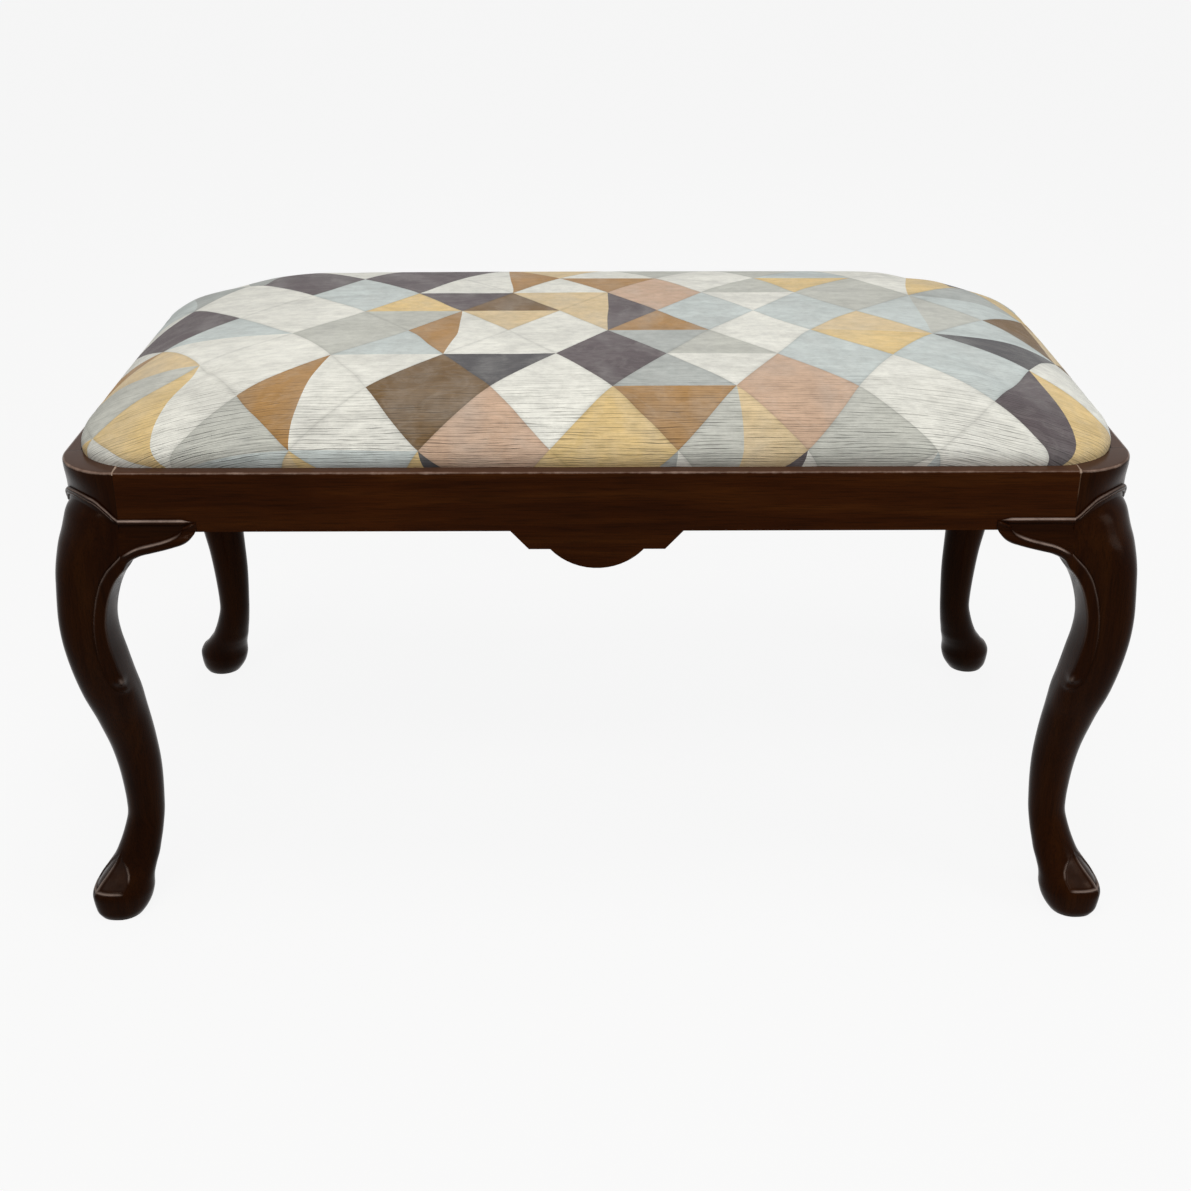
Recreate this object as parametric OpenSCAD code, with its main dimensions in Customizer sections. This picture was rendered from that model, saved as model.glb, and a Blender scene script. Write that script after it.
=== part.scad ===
// Upholstered vanity bench: a mahogany frame on four cabriole legs with
// slipper feet, and a loose drop-in seat that lifts straight out.
// Millimetres, Z up. X is the long way, the front faces -Y, and the origin
// is on the floor under the middle of the bench.

/* [Overall] */
// Width over the outer faces of the end rails
bench_width = 874; // [800:1:940]
// Depth over the outer faces of the long rails
bench_depth = 482; // [440:1:540]
// Height of the polished rim above the floor
rim_height = 425; // [405:1:445]

/* [Rails and posts] */
// Side of the post at the top of a leg, and radius of its round corner
post_size = 52; // [50:1:56]
// Height of the rails
rail_height = 51; // [48:1:55]
// Thickness of the rails
rail_thickness = 24; // [23:0.5:26]
// Width of the polished ledge round the seat
ledge_width = 11; // [10:0.5:12]
// Depth of the rebate that the seat sits in
rebate_depth = 16; // [14:0.5:18]
// Corner radius of the seat opening
opening_radius = 60; // [54:1:66]
// Rounding of the rim's outer arris
arris = 2.5; // [1.5:0.5:3]

/* [Rail tenons] */
// Length of a tenon
tenon_length = 20; // [16:1:21]
// Thickness of a tenon
tenon_thickness = 8; // [6:0.5:8]
// Distance of a tenon behind the rail's outer face
tenon_setback = 13; // [12.5:0.5:14]
// Shoulder under a tenon
tenon_shoulder = 7; // [5:1:9]
// Shoulder between a tenon and the rebate
tenon_top_shoulder = 2; // [1:0.5:4]
// Play of a tenon in its mortise, on each side
joint_play = 0.15; // [0.1:0.05:0.25]

/* [Post moulding] */
// Depth of the cove under the rim, on the corner
cove_depth = 2; // [1.5:0.5:4]
// Height of the plain rim band over the cove
rim_band = 9; // [7:1:11]
// Height over which the cove is hollowed
cove_height = 15; // [12:1:18]

/* [Pendant] */
// Width of the pendant under each long rail
pendant_width = 140; // [120:1:160]
// Drop of the pendant below the rail
pendant_drop = 33; // [28:1:38]
// Width of the round lobe in the middle
lobe_width = 76; // [70:1:84]
// Drop of the lobe below the step
lobe_drop = 17; // [14:1:20]

/* [Knee brackets] */
// Length of a knee bracket from the leg's joint
bracket_length = 63; // [58:1:70]
// Depth of a bracket below the rail at the leg
bracket_root = 33; // [30:1:36]
// Depth of a bracket below the rail at its tip
bracket_tip = 11; // [10:1:13]
// How far the bracket's bead laps up the rail's face
bracket_lap = 11; // [9:0.5:13]
// Thickness of the bead
bead = 3.2; // [2.5:0.1:4]
// Bulge of the bracket's face at the leg
bracket_bulge = 8; // [6:0.5:9]

/* [Corner blocks] */
// Reach of a corner block along each rail from the post
block_reach = 42; // [36:1:46]
// Height of a corner block
block_height = 22; // [18:1:23]
// Distance of a corner block above the rails' lower edge
block_lift = 3; // [2:0.5:5]
// Shank diameter of a block screw
screw_diameter = 4; // [3:0.5:4.5]
// Length of a block screw in the rail
screw_bite = 12; // [9:1:13]
// Head diameter of a block screw
head_diameter = 8; // [7:0.5:9]
// Thickness of a block screw's head
head_height = 3; // [2:0.5:4]
// Play round a screw
screw_play = 0.15; // [0.1:0.05:0.25]

/* [Seat frame] */
// Width of a seat-frame rail
seat_rail_width = 45; // [40:1:52]
// Thickness of a seat-frame rail
seat_rail_thickness = 18; // [16:1:20]
// Gap between the covered seat and the opening's edge
seat_gap = 2.2; // [1.5:0.1:2.6]
// Gap between the seat's underside and the rebate
rest_gap = 0.3; // [0.2:0.05:0.3]

/* [Upholstery] */
// Height of the crown above the rim
crown_height = 59; // [52:1:64]
// Width of the rolled edge of the cushion
roll_width = 46; // [40:1:54]
// How far the roll hangs over the ledge
roll_overhang = 2.5; // [1:0.5:4]
// How much the cushion's corner radius grows towards the crown
corner_crown_radius = 105; // [85:1:115]
// How much wider the roll is at the two ends, as a share
end_roll_share = 0.3; // [0.2:0.05:0.4]
// Play between the cover and the filling
pad_play = 0.8; // [0.6:0.1:0.9]
// Thickness of the cover
cover_thickness = 1.4; // [1:0.1:1.8]
// Width of the cover's turn-under
turn_under = 24; // [18:1:28]
// Play between the cover and what it wraps
cover_play = 0.3; // [0.2:0.05:0.4]
// Width of a webbing strip
webbing_width = 50; // [40:1:56]
// Thickness of a webbing strip
webbing_thickness = 1.2; // [0.8:0.1:1.5]
// Strips along the seat
webbing_long_count = 3; // [2:1:4]
// Strips across the seat
webbing_cross_count = 6; // [4:1:7]
// Thickness of the hessian over the webbing
hessian_thickness = 0.8; // [0.6:0.1:1.2]
// Thickness of the dust cover under the seat
dust_thickness = 0.6; // [0.4:0.1:0.8]
// Inset of the dust cover from the opening's edge
dust_inset = 16; // [15:0.5:18]
// Corner radius of the dust cover
dust_radius = 115; // [110:1:125]
// Head diameter of a tack
tack_diameter = 7; // [5:0.5:8]
// Thickness of a tack's head
tack_height = 0.9; // [0.6:0.1:1.2]
// Inset of the tacks from the dust cover's edge
tack_inset = 6; // [5:0.5:8]
// Tacks along a long side
tack_long_count = 9; // [6:1:11]
// Tacks along an end
tack_short_count = 4; // [3:1:5]

/* [Hidden] */

mahogany = [0.20, 0.09, 0.05];
mahogany_block = [0.42, 0.25, 0.14];
beech = [0.76, 0.62, 0.44];
jute = [0.66, 0.55, 0.38];
sacking = [0.60, 0.50, 0.36];
foam = [0.93, 0.89, 0.76];
print_cloth = [0.78, 0.79, 0.78];
black_cloth = [0.10, 0.10, 0.11];
steel = [0.62, 0.62, 0.60];

// One overrun for every cut, and the fineness of round work
over = 1;
fine = 64;
// Points round a leg and round a corner of the cushion
leg_sides = 32;
corner_points = 9;

// Levels
rail_bottom = rim_height - rail_height;
shelf = rim_height - rebate_depth;
seat_bottom = shelf + rest_gap + cover_thickness + cover_play;
seat_top = seat_bottom + seat_rail_thickness;
cross_bottom = seat_top + webbing_thickness;
hessian_bottom = cross_bottom + webbing_thickness;
foam_bottom = hessian_bottom + hessian_thickness + cover_play;
block_bottom = rail_bottom + block_lift;
tenon_bottom = rail_bottom + tenon_shoulder;
tenon_height = rail_height - rebate_depth - tenon_shoulder - tenon_top_shoulder;

// Half sizes of the seat opening and of the seat frame
open_x = bench_width / 2 - ledge_width;
open_y = bench_depth / 2 - ledge_width;
frame_inset = seat_gap + cover_thickness + cover_play;
seat_x = open_x - frame_inset;
seat_y = open_y - frame_inset;
seat_radius = opening_radius - frame_inset;

// The leg, from the floor up. Each row holds the height as a share of the
// leg's height up to the rail, then the centre's distance in from the two
// outer faces and the half width as shares of the post, and last how square
// the outer, side and inner corners are, where 2 is round.
leg_shares = [
    [0.000, 0.152, 0.375, 2.6, 2.0, 2.0],
    [0.016, 0.167, 0.435, 3.0, 2.0, 2.0],
    [0.038, 0.202, 0.480, 3.8, 2.0, 2.0],
    [0.054, 0.212, 0.500, 4.6, 2.0, 2.0],
    [0.061, 0.215, 0.503, 4.8, 2.0, 2.0],
    [0.068, 0.232, 0.484, 4.4, 2.0, 2.0],
    [0.086, 0.287, 0.448, 3.4, 2.0, 2.0],
    [0.112, 0.387, 0.397, 2.7, 2.0, 2.0],
    [0.134, 0.462, 0.362, 2.4, 2.0, 2.0],
    [0.158, 0.522, 0.334, 2.2, 2.0, 2.0],
    [0.182, 0.572, 0.315, 2.1, 2.0, 2.0],
    [0.206, 0.610, 0.301, 2.0, 2.0, 2.0],
    [0.235, 0.640, 0.292, 2.0, 2.0, 2.0],
    [0.270, 0.652, 0.300, 2.0, 2.0, 2.0],
    [0.315, 0.652, 0.322, 2.0, 2.0, 2.0],
    [0.370, 0.638, 0.348, 2.0, 2.0, 2.0],
    [0.428, 0.598, 0.376, 2.1, 2.0, 2.0],
    [0.484, 0.542, 0.406, 2.2, 2.1, 2.0],
    [0.527, 0.492, 0.428, 2.3, 2.2, 2.0],
    [0.553, 0.458, 0.444, 2.4, 2.8, 2.1],
    [0.575, 0.430, 0.456, 2.5, 3.8, 2.2],
    [0.622, 0.370, 0.462, 2.6, 4.6, 2.2],
    [0.684, 0.304, 0.460, 2.7, 5.0, 2.3],
    [0.735, 0.260, 0.446, 2.8, 5.0, 2.4],
    [0.786, 0.250, 0.444, 2.8, 5.0, 2.5],
    [0.832, 0.286, 0.468, 2.8, 5.0, 2.6],
    [0.868, 0.338, 0.508, 2.8, 5.0, 2.8],
    [0.896, 0.402, 0.565, 2.8, 5.0, 3.0],
    [0.918, 0.478, 0.631, 2.7, 5.0, 3.4],
    [0.940, 0.556, 0.694, 2.5, 5.0, 3.6],
    [0.963, 0.627, 0.730, 2.3, 4.4, 3.6],
    [0.979, 0.675, 0.734, 2.1, 3.8, 3.4],
    [1.000, 0.731, 0.728, 1.95, 3.2, 3.0],
    [1.028, 0.750, 0.718, 1.85, 3.0, 3.0],
    [1.052, 0.770, 0.700, 1.8, 3.0, 3.0],
    [1.070, 0.788, 0.670, 1.8, 3.0, 3.0],
    [1.083, 0.788, 0.600, 1.8, 3.0, 3.0]];

// The cushion's edge, from the turn-under up to the crown: each row holds
// the inset as a share of the roll and the height as a share of the crown
roll_shares = [
    [0.090, 0.380], [0.240, 0.520], [0.420, 0.640],
    [0.700, 0.750], [1.120, 0.845], [1.750, 0.920], [2.500, 0.970], [3.400, 1.000]];
// The lower edge of a knee bracket, from the leg to the tip: each pair holds
// shares of the bracket's length and of its depth at the leg
bracket_shares = [[0, 1], [0.06, 0.84], [0.14, 0.71], [0.24, 0.60], [0.38, 0.52], [0.56, 0.44], [0.70, 0.38]];
// The end of the bracket: shares of its length and of its depth at the tip
tip_shares = [[0.80, 1], [0.88, 0.86], [0.94, 0.60], [0.98, 0.34], [0.99, 0.16], [0.97, 0]];
// The bracket's carved face: shares of the bulge and of the depth at the leg
face_shares = [[0.62, 0.16], [0.92, 0.36], [1, 0.58], [0.84, 0.80], [0.50, 1]];
// The bracket's bead: shares of its thickness and of its lap
bead_shares = [[0, 1], [0.60, 0.95], [1, 0.80], [1, 0.60], [0.62, 0.44], [0.45, 0.20], [0.62, -0.02]];
// The bracket seen from above: shares of its length and of the bulge
plan_shares = [[0, 1], [0.35, 0.82], [0.70, 0.60], [1, 0.42]];

// Half of the pendant's step, as shares of its half width and drop
step_share = 0.79;

// One skin over a stack of rings with the same number of points
module skin(rings) {
    m = len(rings[0]);
    n = len(rings);
    points = [for (ring = rings) each ring];
    sides = [for (i = [0 : n - 2]) for (k = [0 : m - 1]) each [
        [i * m + k, (i + 1) * m + k, i * m + (k + 1) % m],
        [i * m + (k + 1) % m, (i + 1) * m + k, (i + 1) * m + (k + 1) % m]]];
    base = [for (k = [1 : m - 2]) [0, k, k + 1]];
    top = [for (k = [1 : m - 2]) [(n - 1) * m, (n - 1) * m + k + 1, (n - 1) * m + k]];
    polyhedron(points = points, faces = concat(sides, base, top), convexity = 6);
}

// How square a leg's corner is at an angle: outer, side or inner quarter
function squareness(row, angle) =
    angle >= 180 && angle < 270 ? row[3] : angle < 90 ? row[5] : row[4];

// Distance of a leg's face from its centre at an angle
function leg_radius(row, angle) =
    let (n = squareness(row, angle))
    post_size * row[2] / pow(pow(abs(cos(angle)), n) + pow(abs(sin(angle)), n), 1 / n);

// One level of a leg, in the frame of its outer corner
function leg_ring(row) = [for (k = [0 : leg_sides - 1])
    let (angle = 360 * k / leg_sides)
    let (r = leg_radius(row, angle))
    let (c = post_size * row[1])
    [c + r * cos(angle), c + r * sin(angle), rail_bottom * row[0]]];

// A rounded rectangle as points, from its half sizes and corner radius
function round_ring(hx, hy, r, z) = [for (q = [0 : 3]) for (j = [0 : corner_points - 1])
    let (angle = 90 * q + 90 * j / (corner_points - 1))
    let (sx = q == 0 || q == 3 ? 1 : -1)
    let (sy = q < 2 ? 1 : -1)
    [sx * (hx - r) + r * cos(angle), sy * (hy - r) + r * sin(angle), z]];

// The same as an exact flat shape
module round_flat(hx, hy, r) {
    square([2 * (hx - r), 2 * hy], center = true);
    square([2 * hx, 2 * (hy - r)], center = true);
    for (sx = [-1, 1])
        for (sy = [-1, 1])
            translate([sx * (hx - r), sy * (hy - r)]) circle(r = r, $fn = fine);
}

// The well that the seat drops into
module seat_well() {
    translate([0, 0, shelf])
        linear_extrude(rebate_depth + over) round_flat(open_x, open_y, opening_radius);
}

// Places a shape made at the front left corner, outer faces on the axes,
// at the corner that the two signs name
module at_corner(sx, sy) {
    scale_x = sx < 0 ? 0 : 1;
    scale_y = sy < 0 ? 0 : 1;
    mirror([scale_x, 0, 0])
        mirror([0, scale_y, 0])
            translate([-bench_width / 2, -bench_depth / 2, 0]) children();
}

// The post: a quarter round whose corner is hollowed under the rim band.
// The hollow's axis lies further in, so that it dies out at the joints.
module post() {
    shift = cove_depth / (sqrt(2) - 1);
    reach = post_size + shift;
    top = rim_height - rim_band;
    difference() {
        translate([post_size, post_size, rail_bottom])
            rotate(180)
                rotate_extrude(angle = 90, $fn = fine)
                    polygon([[0, 0], [post_size, 0],
                        [post_size, rail_height - arris],
                        [post_size - arris / 4, rail_height - arris / 3],
                        [post_size - arris, rail_height],
                        [0, rail_height]]);
        translate([reach, reach, 0])
            rotate(180)
                rotate_extrude(angle = 90, $fn = fine)
                    polygon([[reach + cove_depth * 1.5, top + cove_height / 4],
                        [reach + cove_depth, top],
                        [reach + cove_depth / 2, top - cove_height / 4],
                        [reach + cove_depth / 6, top - cove_height / 2],
                        [reach, top - cove_height],
                        [reach, rail_bottom - over],
                        [reach + post_size, rail_bottom - over],
                        [reach + post_size, top + cove_height / 4]]);
    }
}

// One rail's mortise, entering the post along X
module mortise() {
    translate([post_size - tenon_length - joint_play, tenon_setback - joint_play,
        tenon_bottom - joint_play])
        cube([tenon_length + joint_play + over, tenon_thickness + 2 * joint_play,
            tenon_height + 2 * joint_play]);
}

// A cabriole leg with its post, as at the front left corner
module leg_form() {
    difference() {
        union() {
            post();
            intersection() {
                skin([for (row = leg_shares) leg_ring(row)]);
                translate([-post_size, -post_size, 0])
                    cube([2 * post_size, 2 * post_size, rim_height]);
            }
        }
        mortise();
        mirror([1, -1, 0]) mortise();
        translate([bench_width / 2, bench_depth / 2, 0]) seat_well();
    }
}

module leg_front_left() {
    color(mahogany) at_corner(-1, -1) leg_form();
}

module leg_front_right() {
    color(mahogany) at_corner(1, -1) leg_form();
}

module leg_back_left() {
    color(mahogany) at_corner(-1, 1) leg_form();
}

module leg_back_right() {
    color(mahogany) at_corner(1, 1) leg_form();
}

// The section of a rail: outer face at 0, with its rounded upper arris
module rail_section() {
    polygon([[0, rail_bottom], [rail_thickness, rail_bottom],
        [rail_thickness, rim_height], [arris, rim_height],
        [arris / 4, rim_height - arris / 3], [0, rim_height - arris]]);
}

// A rail along X with its outer face on Y = 0, between the posts of a side
module rail_bar(side) {
    span = side - 2 * post_size;
    rotate([90, 0, 90]) linear_extrude(span, center = true) rail_section();
    for (sx = [-1, 1])
        translate([sx * (span + tenon_length) / 2,
            tenon_setback + tenon_thickness / 2, tenon_bottom + tenon_height / 2])
            cube([tenon_length + 2 * joint_play, tenon_thickness, tenon_height],
                center = true);
}

// The stepped pendant with its round lobe, hanging from a long rail. It
// reaches up into the rail as far as the tenon's shoulder.
module pendant() {
    step = pendant_drop - lobe_drop;
    lobe_r = (lobe_width * lobe_width / 4 + lobe_drop * lobe_drop) / (2 * lobe_drop);
    translate([0, rail_thickness, rail_bottom])
        rotate([90, 0, 0])
            linear_extrude(rail_thickness) {
                polygon([[-pendant_width / 2, 0], [-pendant_width / 2, tenon_shoulder],
                    [pendant_width / 2, tenon_shoulder], [pendant_width / 2, 0],
                    [step_share * pendant_width / 2, -step],
                    [-step_share * pendant_width / 2, -step]]);
                intersection() {
                    translate([0, lobe_r - pendant_drop]) circle(r = lobe_r, $fn = fine);
                    translate([-pendant_width / 2, -pendant_drop - over])
                        square([pendant_width, pendant_drop + over]);
                }
            }
}

// A bore for a block screw, along Y at a place along the rail
module screw_bores(radius) {
    for (sx = [-1, 1])
        translate([sx * (bench_width / 2 - screw_place), rail_thickness - screw_bite,
            block_bottom + block_height / 2])
            rotate([-90, 0, 0]) cylinder(r = radius, h = screw_bite + over, $fn = fine);
}

// Distance of a block screw from the bench's outer corner
screw_place = post_size + block_reach / 2;

module long_rail() {
    difference() {
        union() {
            rail_bar(bench_width);
            pendant();
        }
        translate([0, bench_depth / 2, 0]) seat_well();
        screw_bores(screw_diameter / 2 + screw_play);
    }
}

module short_rail() {
    difference() {
        rail_bar(bench_depth);
        translate([0, bench_width / 2, 0]) rotate(90) seat_well();
        for (sx = [-1, 1])
            translate([sx * (bench_depth / 2 - screw_place), rail_thickness - screw_bite,
                block_bottom + block_height / 2])
                rotate([-90, 0, 0])
                    cylinder(r = screw_diameter / 2 + screw_play, h = screw_bite + over,
                        $fn = fine);
    }
}

module front_rail() {
    color(mahogany) translate([0, -bench_depth / 2, 0]) long_rail();
}

module back_rail() {
    color(mahogany) rotate(180) translate([0, -bench_depth / 2, 0]) long_rail();
}

module left_rail() {
    color(mahogany) rotate(-90) translate([0, -bench_width / 2, 0]) short_rail();
}

module right_rail() {
    color(mahogany) rotate(90) translate([0, -bench_width / 2, 0]) short_rail();
}

// A knee bracket as at the front left corner, running along X from the leg.
// Its elevation, its section and its plan meet in the carved block.
module bracket_form() {
    x0 = post_size;
    x1 = post_size + bracket_length;
    translate([0, rail_thickness, 0])
        rotate([90, 0, 0])
            intersection() {
                linear_extrude(rail_thickness + 2 * bracket_bulge)
                    polygon(concat([[x0, rail_bottom + bracket_lap]],
                        [for (p = bracket_shares)
                            [x0 + bracket_length * p[0], rail_bottom - bracket_root * p[1]]],
                        [for (p = tip_shares)
                            [x0 + bracket_length * p[0], rail_bottom - bracket_tip * p[1]]],
                        [[x0 + bracket_length * tip_shares[5][0],
                            rail_bottom + bracket_lap]]));
                rotate([-90, 0, 0]) translate([0, -rail_thickness, 0]) bracket_section();
                rotate([-90, 0, 0]) translate([0, -rail_thickness, 0]) bracket_plan();
            }
}

// The bracket's section, run along its length
module bracket_section() {
    translate([post_size, 0, 0])
        rotate([90, 0, 90])
            linear_extrude(bracket_length)
                polygon(concat([[rail_thickness, rail_bottom], [0, rail_bottom]],
                    [for (p = bead_shares) [-bead * p[0], rail_bottom + bracket_lap * p[1]]],
                    [for (p = face_shares)
                        [-bracket_bulge * p[0], rail_bottom - bracket_root * p[1]]],
                    [[rail_thickness, rail_bottom - bracket_root]]));
}

// The bracket's plan, over its whole height
module bracket_plan() {
    x0 = post_size;
    x1 = post_size + bracket_length;
    translate([0, 0, rail_bottom - bracket_root])
        linear_extrude(bracket_root + bracket_lap)
            polygon(concat([[x0, rail_thickness]],
                [for (p = plan_shares) [x0 + bracket_length * p[0], -bracket_bulge * p[1]]],
                [[x1, rail_thickness - bracket_length / 9],
                    [x0 + bracket_length / 2, rail_thickness]]));
}

module bracket_along(sx, sy) {
    color(mahogany) at_corner(sx, sy) bracket_form();
}

module bracket_across(sx, sy) {
    color(mahogany) at_corner(sx, sy) mirror([1, -1, 0]) bracket_form();
}

module bracket_front_left() {
    bracket_along(-1, -1);
}

module bracket_front_right() {
    bracket_along(1, -1);
}

module bracket_back_left() {
    bracket_along(-1, 1);
}

module bracket_back_right() {
    bracket_along(1, 1);
}

module bracket_left_front() {
    bracket_across(-1, -1);
}

module bracket_left_back() {
    bracket_across(-1, 1);
}

module bracket_right_front() {
    bracket_across(1, -1);
}

module bracket_right_back() {
    bracket_across(1, 1);
}

// A screw as at the front left corner: through the block, into the front rail
module block_screw(grow) {
    face = post_size + block_reach - block_reach / 2;
    head = face - head_diameter / 2 - head_height;
    translate([screw_place, rail_thickness - screw_bite + screw_play,
        block_bottom + block_height / 2])
        rotate([-90, 0, 0]) {
            cylinder(d = screw_diameter + 2 * grow,
                h = head - rail_thickness + screw_bite, $fn = fine);
            translate([0, 0, head - rail_thickness + screw_bite - screw_play - grow])
                cylinder(d = head_diameter + 2 * grow,
                    h = head_height + (grow > 0 ? block_reach : 0), $fn = fine);
        }
}

// A corner block, notched round the post and cut square across the corner
module block_form() {
    outer = post_size + block_reach;
    difference() {
        translate([0, 0, block_bottom])
            linear_extrude(block_height)
                polygon([[rail_thickness, post_size], [post_size, post_size],
                    [post_size, rail_thickness], [outer, rail_thickness],
                    [outer, rail_thickness + block_reach / 4],
                    [rail_thickness + block_reach / 4, outer],
                    [rail_thickness, outer]]);
        block_screw(screw_play);
        mirror([1, -1, 0]) block_screw(screw_play);
    }
}

module block_front_left() {
    color(mahogany_block) at_corner(-1, -1) block_form();
}

module block_front_right() {
    color(mahogany_block) at_corner(1, -1) block_form();
}

module block_back_left() {
    color(mahogany_block) at_corner(-1, 1) block_form();
}

module block_back_right() {
    color(mahogany_block) at_corner(1, 1) block_form();
}

module block_screws() {
    color(steel)
        for (sx = [-1, 1])
            for (sy = [-1, 1])
                at_corner(sx, sy) {
                    block_screw(0);
                    mirror([1, -1, 0]) block_screw(0);
                }
}

// The seat frame as one rounded board, cut into rails by the modules below
module seat_board(bottom, height) {
    translate([0, 0, bottom])
        linear_extrude(height) round_flat(seat_x, seat_y, seat_radius);
}

// A long seat rail: full width, with its upper half cut away for the laps
module seat_rail_long() {
    difference() {
        intersection() {
            seat_board(seat_bottom, seat_rail_thickness);
            translate([-seat_x, -seat_y, seat_bottom])
                cube([2 * seat_x, seat_rail_width, seat_rail_thickness]);
        }
        for (sx = [-1, 1])
            translate([sx * (seat_x - seat_rail_width / 2 + over / 2),
                -seat_y + seat_rail_width / 2, seat_top])
                cube([seat_rail_width + over, seat_rail_width + 2 * over,
                    seat_rail_thickness], center = true);
    }
}

// A short seat rail: its lower half cut away where it laps the long rails
module seat_rail_short() {
    difference() {
        intersection() {
            seat_board(seat_bottom, seat_rail_thickness);
            translate([-seat_x, -seat_y, seat_bottom])
                cube([seat_rail_width, 2 * seat_y, seat_rail_thickness]);
        }
        for (sy = [-1, 1])
            translate([-seat_x + seat_rail_width / 2,
                sy * (seat_y - seat_rail_width / 2 + over / 2), seat_bottom])
                cube([seat_rail_width + 2 * over, seat_rail_width + over,
                    seat_rail_thickness], center = true);
    }
}

module seat_rail_front() {
    color(beech) seat_rail_long();
}

module seat_rail_back() {
    color(beech) mirror([0, 1, 0]) seat_rail_long();
}

module seat_rail_left() {
    color(beech) seat_rail_short();
}

module seat_rail_right() {
    color(beech) mirror([1, 0, 0]) seat_rail_short();
}

// Strips of webbing from rail to rail, ending half way over the rails
module webbing_long() {
    pitch = (2 * seat_y - seat_rail_width) / (webbing_long_count + 1);
    color(jute)
        for (i = [1 : webbing_long_count])
            translate([0, -seat_y + seat_rail_width / 2 + i * pitch,
                seat_top + webbing_thickness / 2])
                cube([2 * seat_x - seat_rail_width, webbing_width, webbing_thickness],
                    center = true);
}

module webbing_cross() {
    pitch = (2 * seat_x - seat_rail_width) / (webbing_cross_count + 1);
    color(jute)
        for (i = [1 : webbing_cross_count])
            translate([-seat_x + seat_rail_width / 2 + i * pitch, 0,
                cross_bottom + webbing_thickness / 2])
                cube([webbing_width, 2 * seat_y - seat_rail_width, webbing_thickness],
                    center = true);
}

module hessian() {
    inset = seat_rail_width / 4;
    color(sacking)
        translate([0, 0, hessian_bottom])
            linear_extrude(hessian_thickness)
                round_flat(seat_x - inset, seat_y - inset, seat_radius - inset);
}

// The outer line of the cover: inset from the opening's edge, and height.
// It starts under the seat, rises in the rebate, swells over the ledge and
// rolls up to the crown.
cover_line = concat(
    [[seat_gap + turn_under, shelf + rest_gap],
        [seat_gap + cover_thickness, shelf + rest_gap],
        [seat_gap, shelf + rest_gap + cover_thickness],
        [seat_gap, rim_height - rest_gap],
        [rest_gap, rim_height + cover_play + rest_gap],
        [-roll_overhang * 0.75, rim_height + crown_height * 0.045],
        [-roll_overhang, rim_height + crown_height * 0.13],
        [-roll_overhang * 0.70, rim_height + crown_height * 0.27]],
    [for (row = roll_shares)
        [roll_width * row[0], rim_height + crown_height * row[1]]]);

// The unit normal towards the seat at a point of a line
function line_normal(line, i) =
    let (a = line[max(i - 1, 0)])
    let (b = line[min(i + 1, len(line) - 1)])
    let (d = b - a)
    [d[1], -d[0]] / norm(d);

// The line moved towards the seat
function inner_line(line, by) =
    [for (i = [0 : len(line) - 1]) line[i] + by * line_normal(line, i)];

// A ring of the cushion at a point of its line. Its corners lie on one
// centre in the rebate and widen over the rim, where the ends roll off more.
function cushion_ring(p) =
    let (rise = max(p[1] - rim_height, 0) / crown_height)
    let (r = opening_radius - p[0] + corner_crown_radius * pow(rise, 1.5))
    let (end = end_roll_share * rise * (roll_width / 2 + max(p[0], 0)))
    round_ring(open_x - p[0] - end, open_y - p[0], max(r, corner_crown_radius / 10), p[1]);

module seat_cover() {
    inside = inner_line(cover_line, cover_thickness);
    n = len(inside);
    color(print_cloth)
        skin(concat([for (i = [n - 1 : -1 : 0]) cushion_ring(inside[i])],
            [for (p = cover_line) cushion_ring(p)]));
}

// The filling: it follows the cover's inside, a little play away
module foam_pad() {
    inside = inner_line(cover_line, cover_thickness + pad_play);
    rows = [for (p = inside) if (p[1] > foam_bottom + pad_play) p];
    color(foam)
        skin(concat([cushion_ring([rows[0][0], foam_bottom])],
            [for (p = rows) cushion_ring(p)]));
}

module dust_cover() {
    color(black_cloth)
        translate([0, 0, shelf + rest_gap - dust_thickness])
            linear_extrude(dust_thickness)
                round_flat(open_x - dust_inset, open_y - dust_inset, dust_radius);
}

// Tacks under the seat, spaced along the straight sides of the dust cover
module tack_row(count, run, out) {
    for (i = [0 : count - 1])
        translate([-run / 2 + run * i / (count - 1), out,
            shelf + rest_gap - dust_thickness - tack_height])
            cylinder(d1 = tack_diameter / 2, d2 = tack_diameter, h = tack_height, $fn = fine / 2);
}

module cover_tacks() {
    inset = dust_inset + tack_inset;
    run_x = 2 * (open_x - dust_inset - dust_radius);
    run_y = 2 * (open_y - dust_inset - dust_radius);
    color(steel)
        for (turn = [0, 180])
            rotate(turn) {
                tack_row(tack_long_count, run_x, -open_y + inset);
                rotate(90) tack_row(tack_short_count, run_y, -open_x + inset);
            }
}

leg_front_left();
leg_front_right();
leg_back_left();
leg_back_right();
front_rail();
back_rail();
left_rail();
right_rail();
bracket_front_left();
bracket_front_right();
bracket_back_left();
bracket_back_right();
bracket_left_front();
bracket_left_back();
bracket_right_front();
bracket_right_back();
block_front_left();
block_front_right();
block_back_left();
block_back_right();
block_screws();
seat_rail_front();
seat_rail_back();
seat_rail_left();
seat_rail_right();
webbing_long();
webbing_cross();
hessian();
foam_pad();
seat_cover();
dust_cover();
cover_tacks();
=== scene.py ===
import math
from functools import partialmethod

import bmesh
import bpy
import numpy as np
from mathutils import Matrix, Vector


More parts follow.
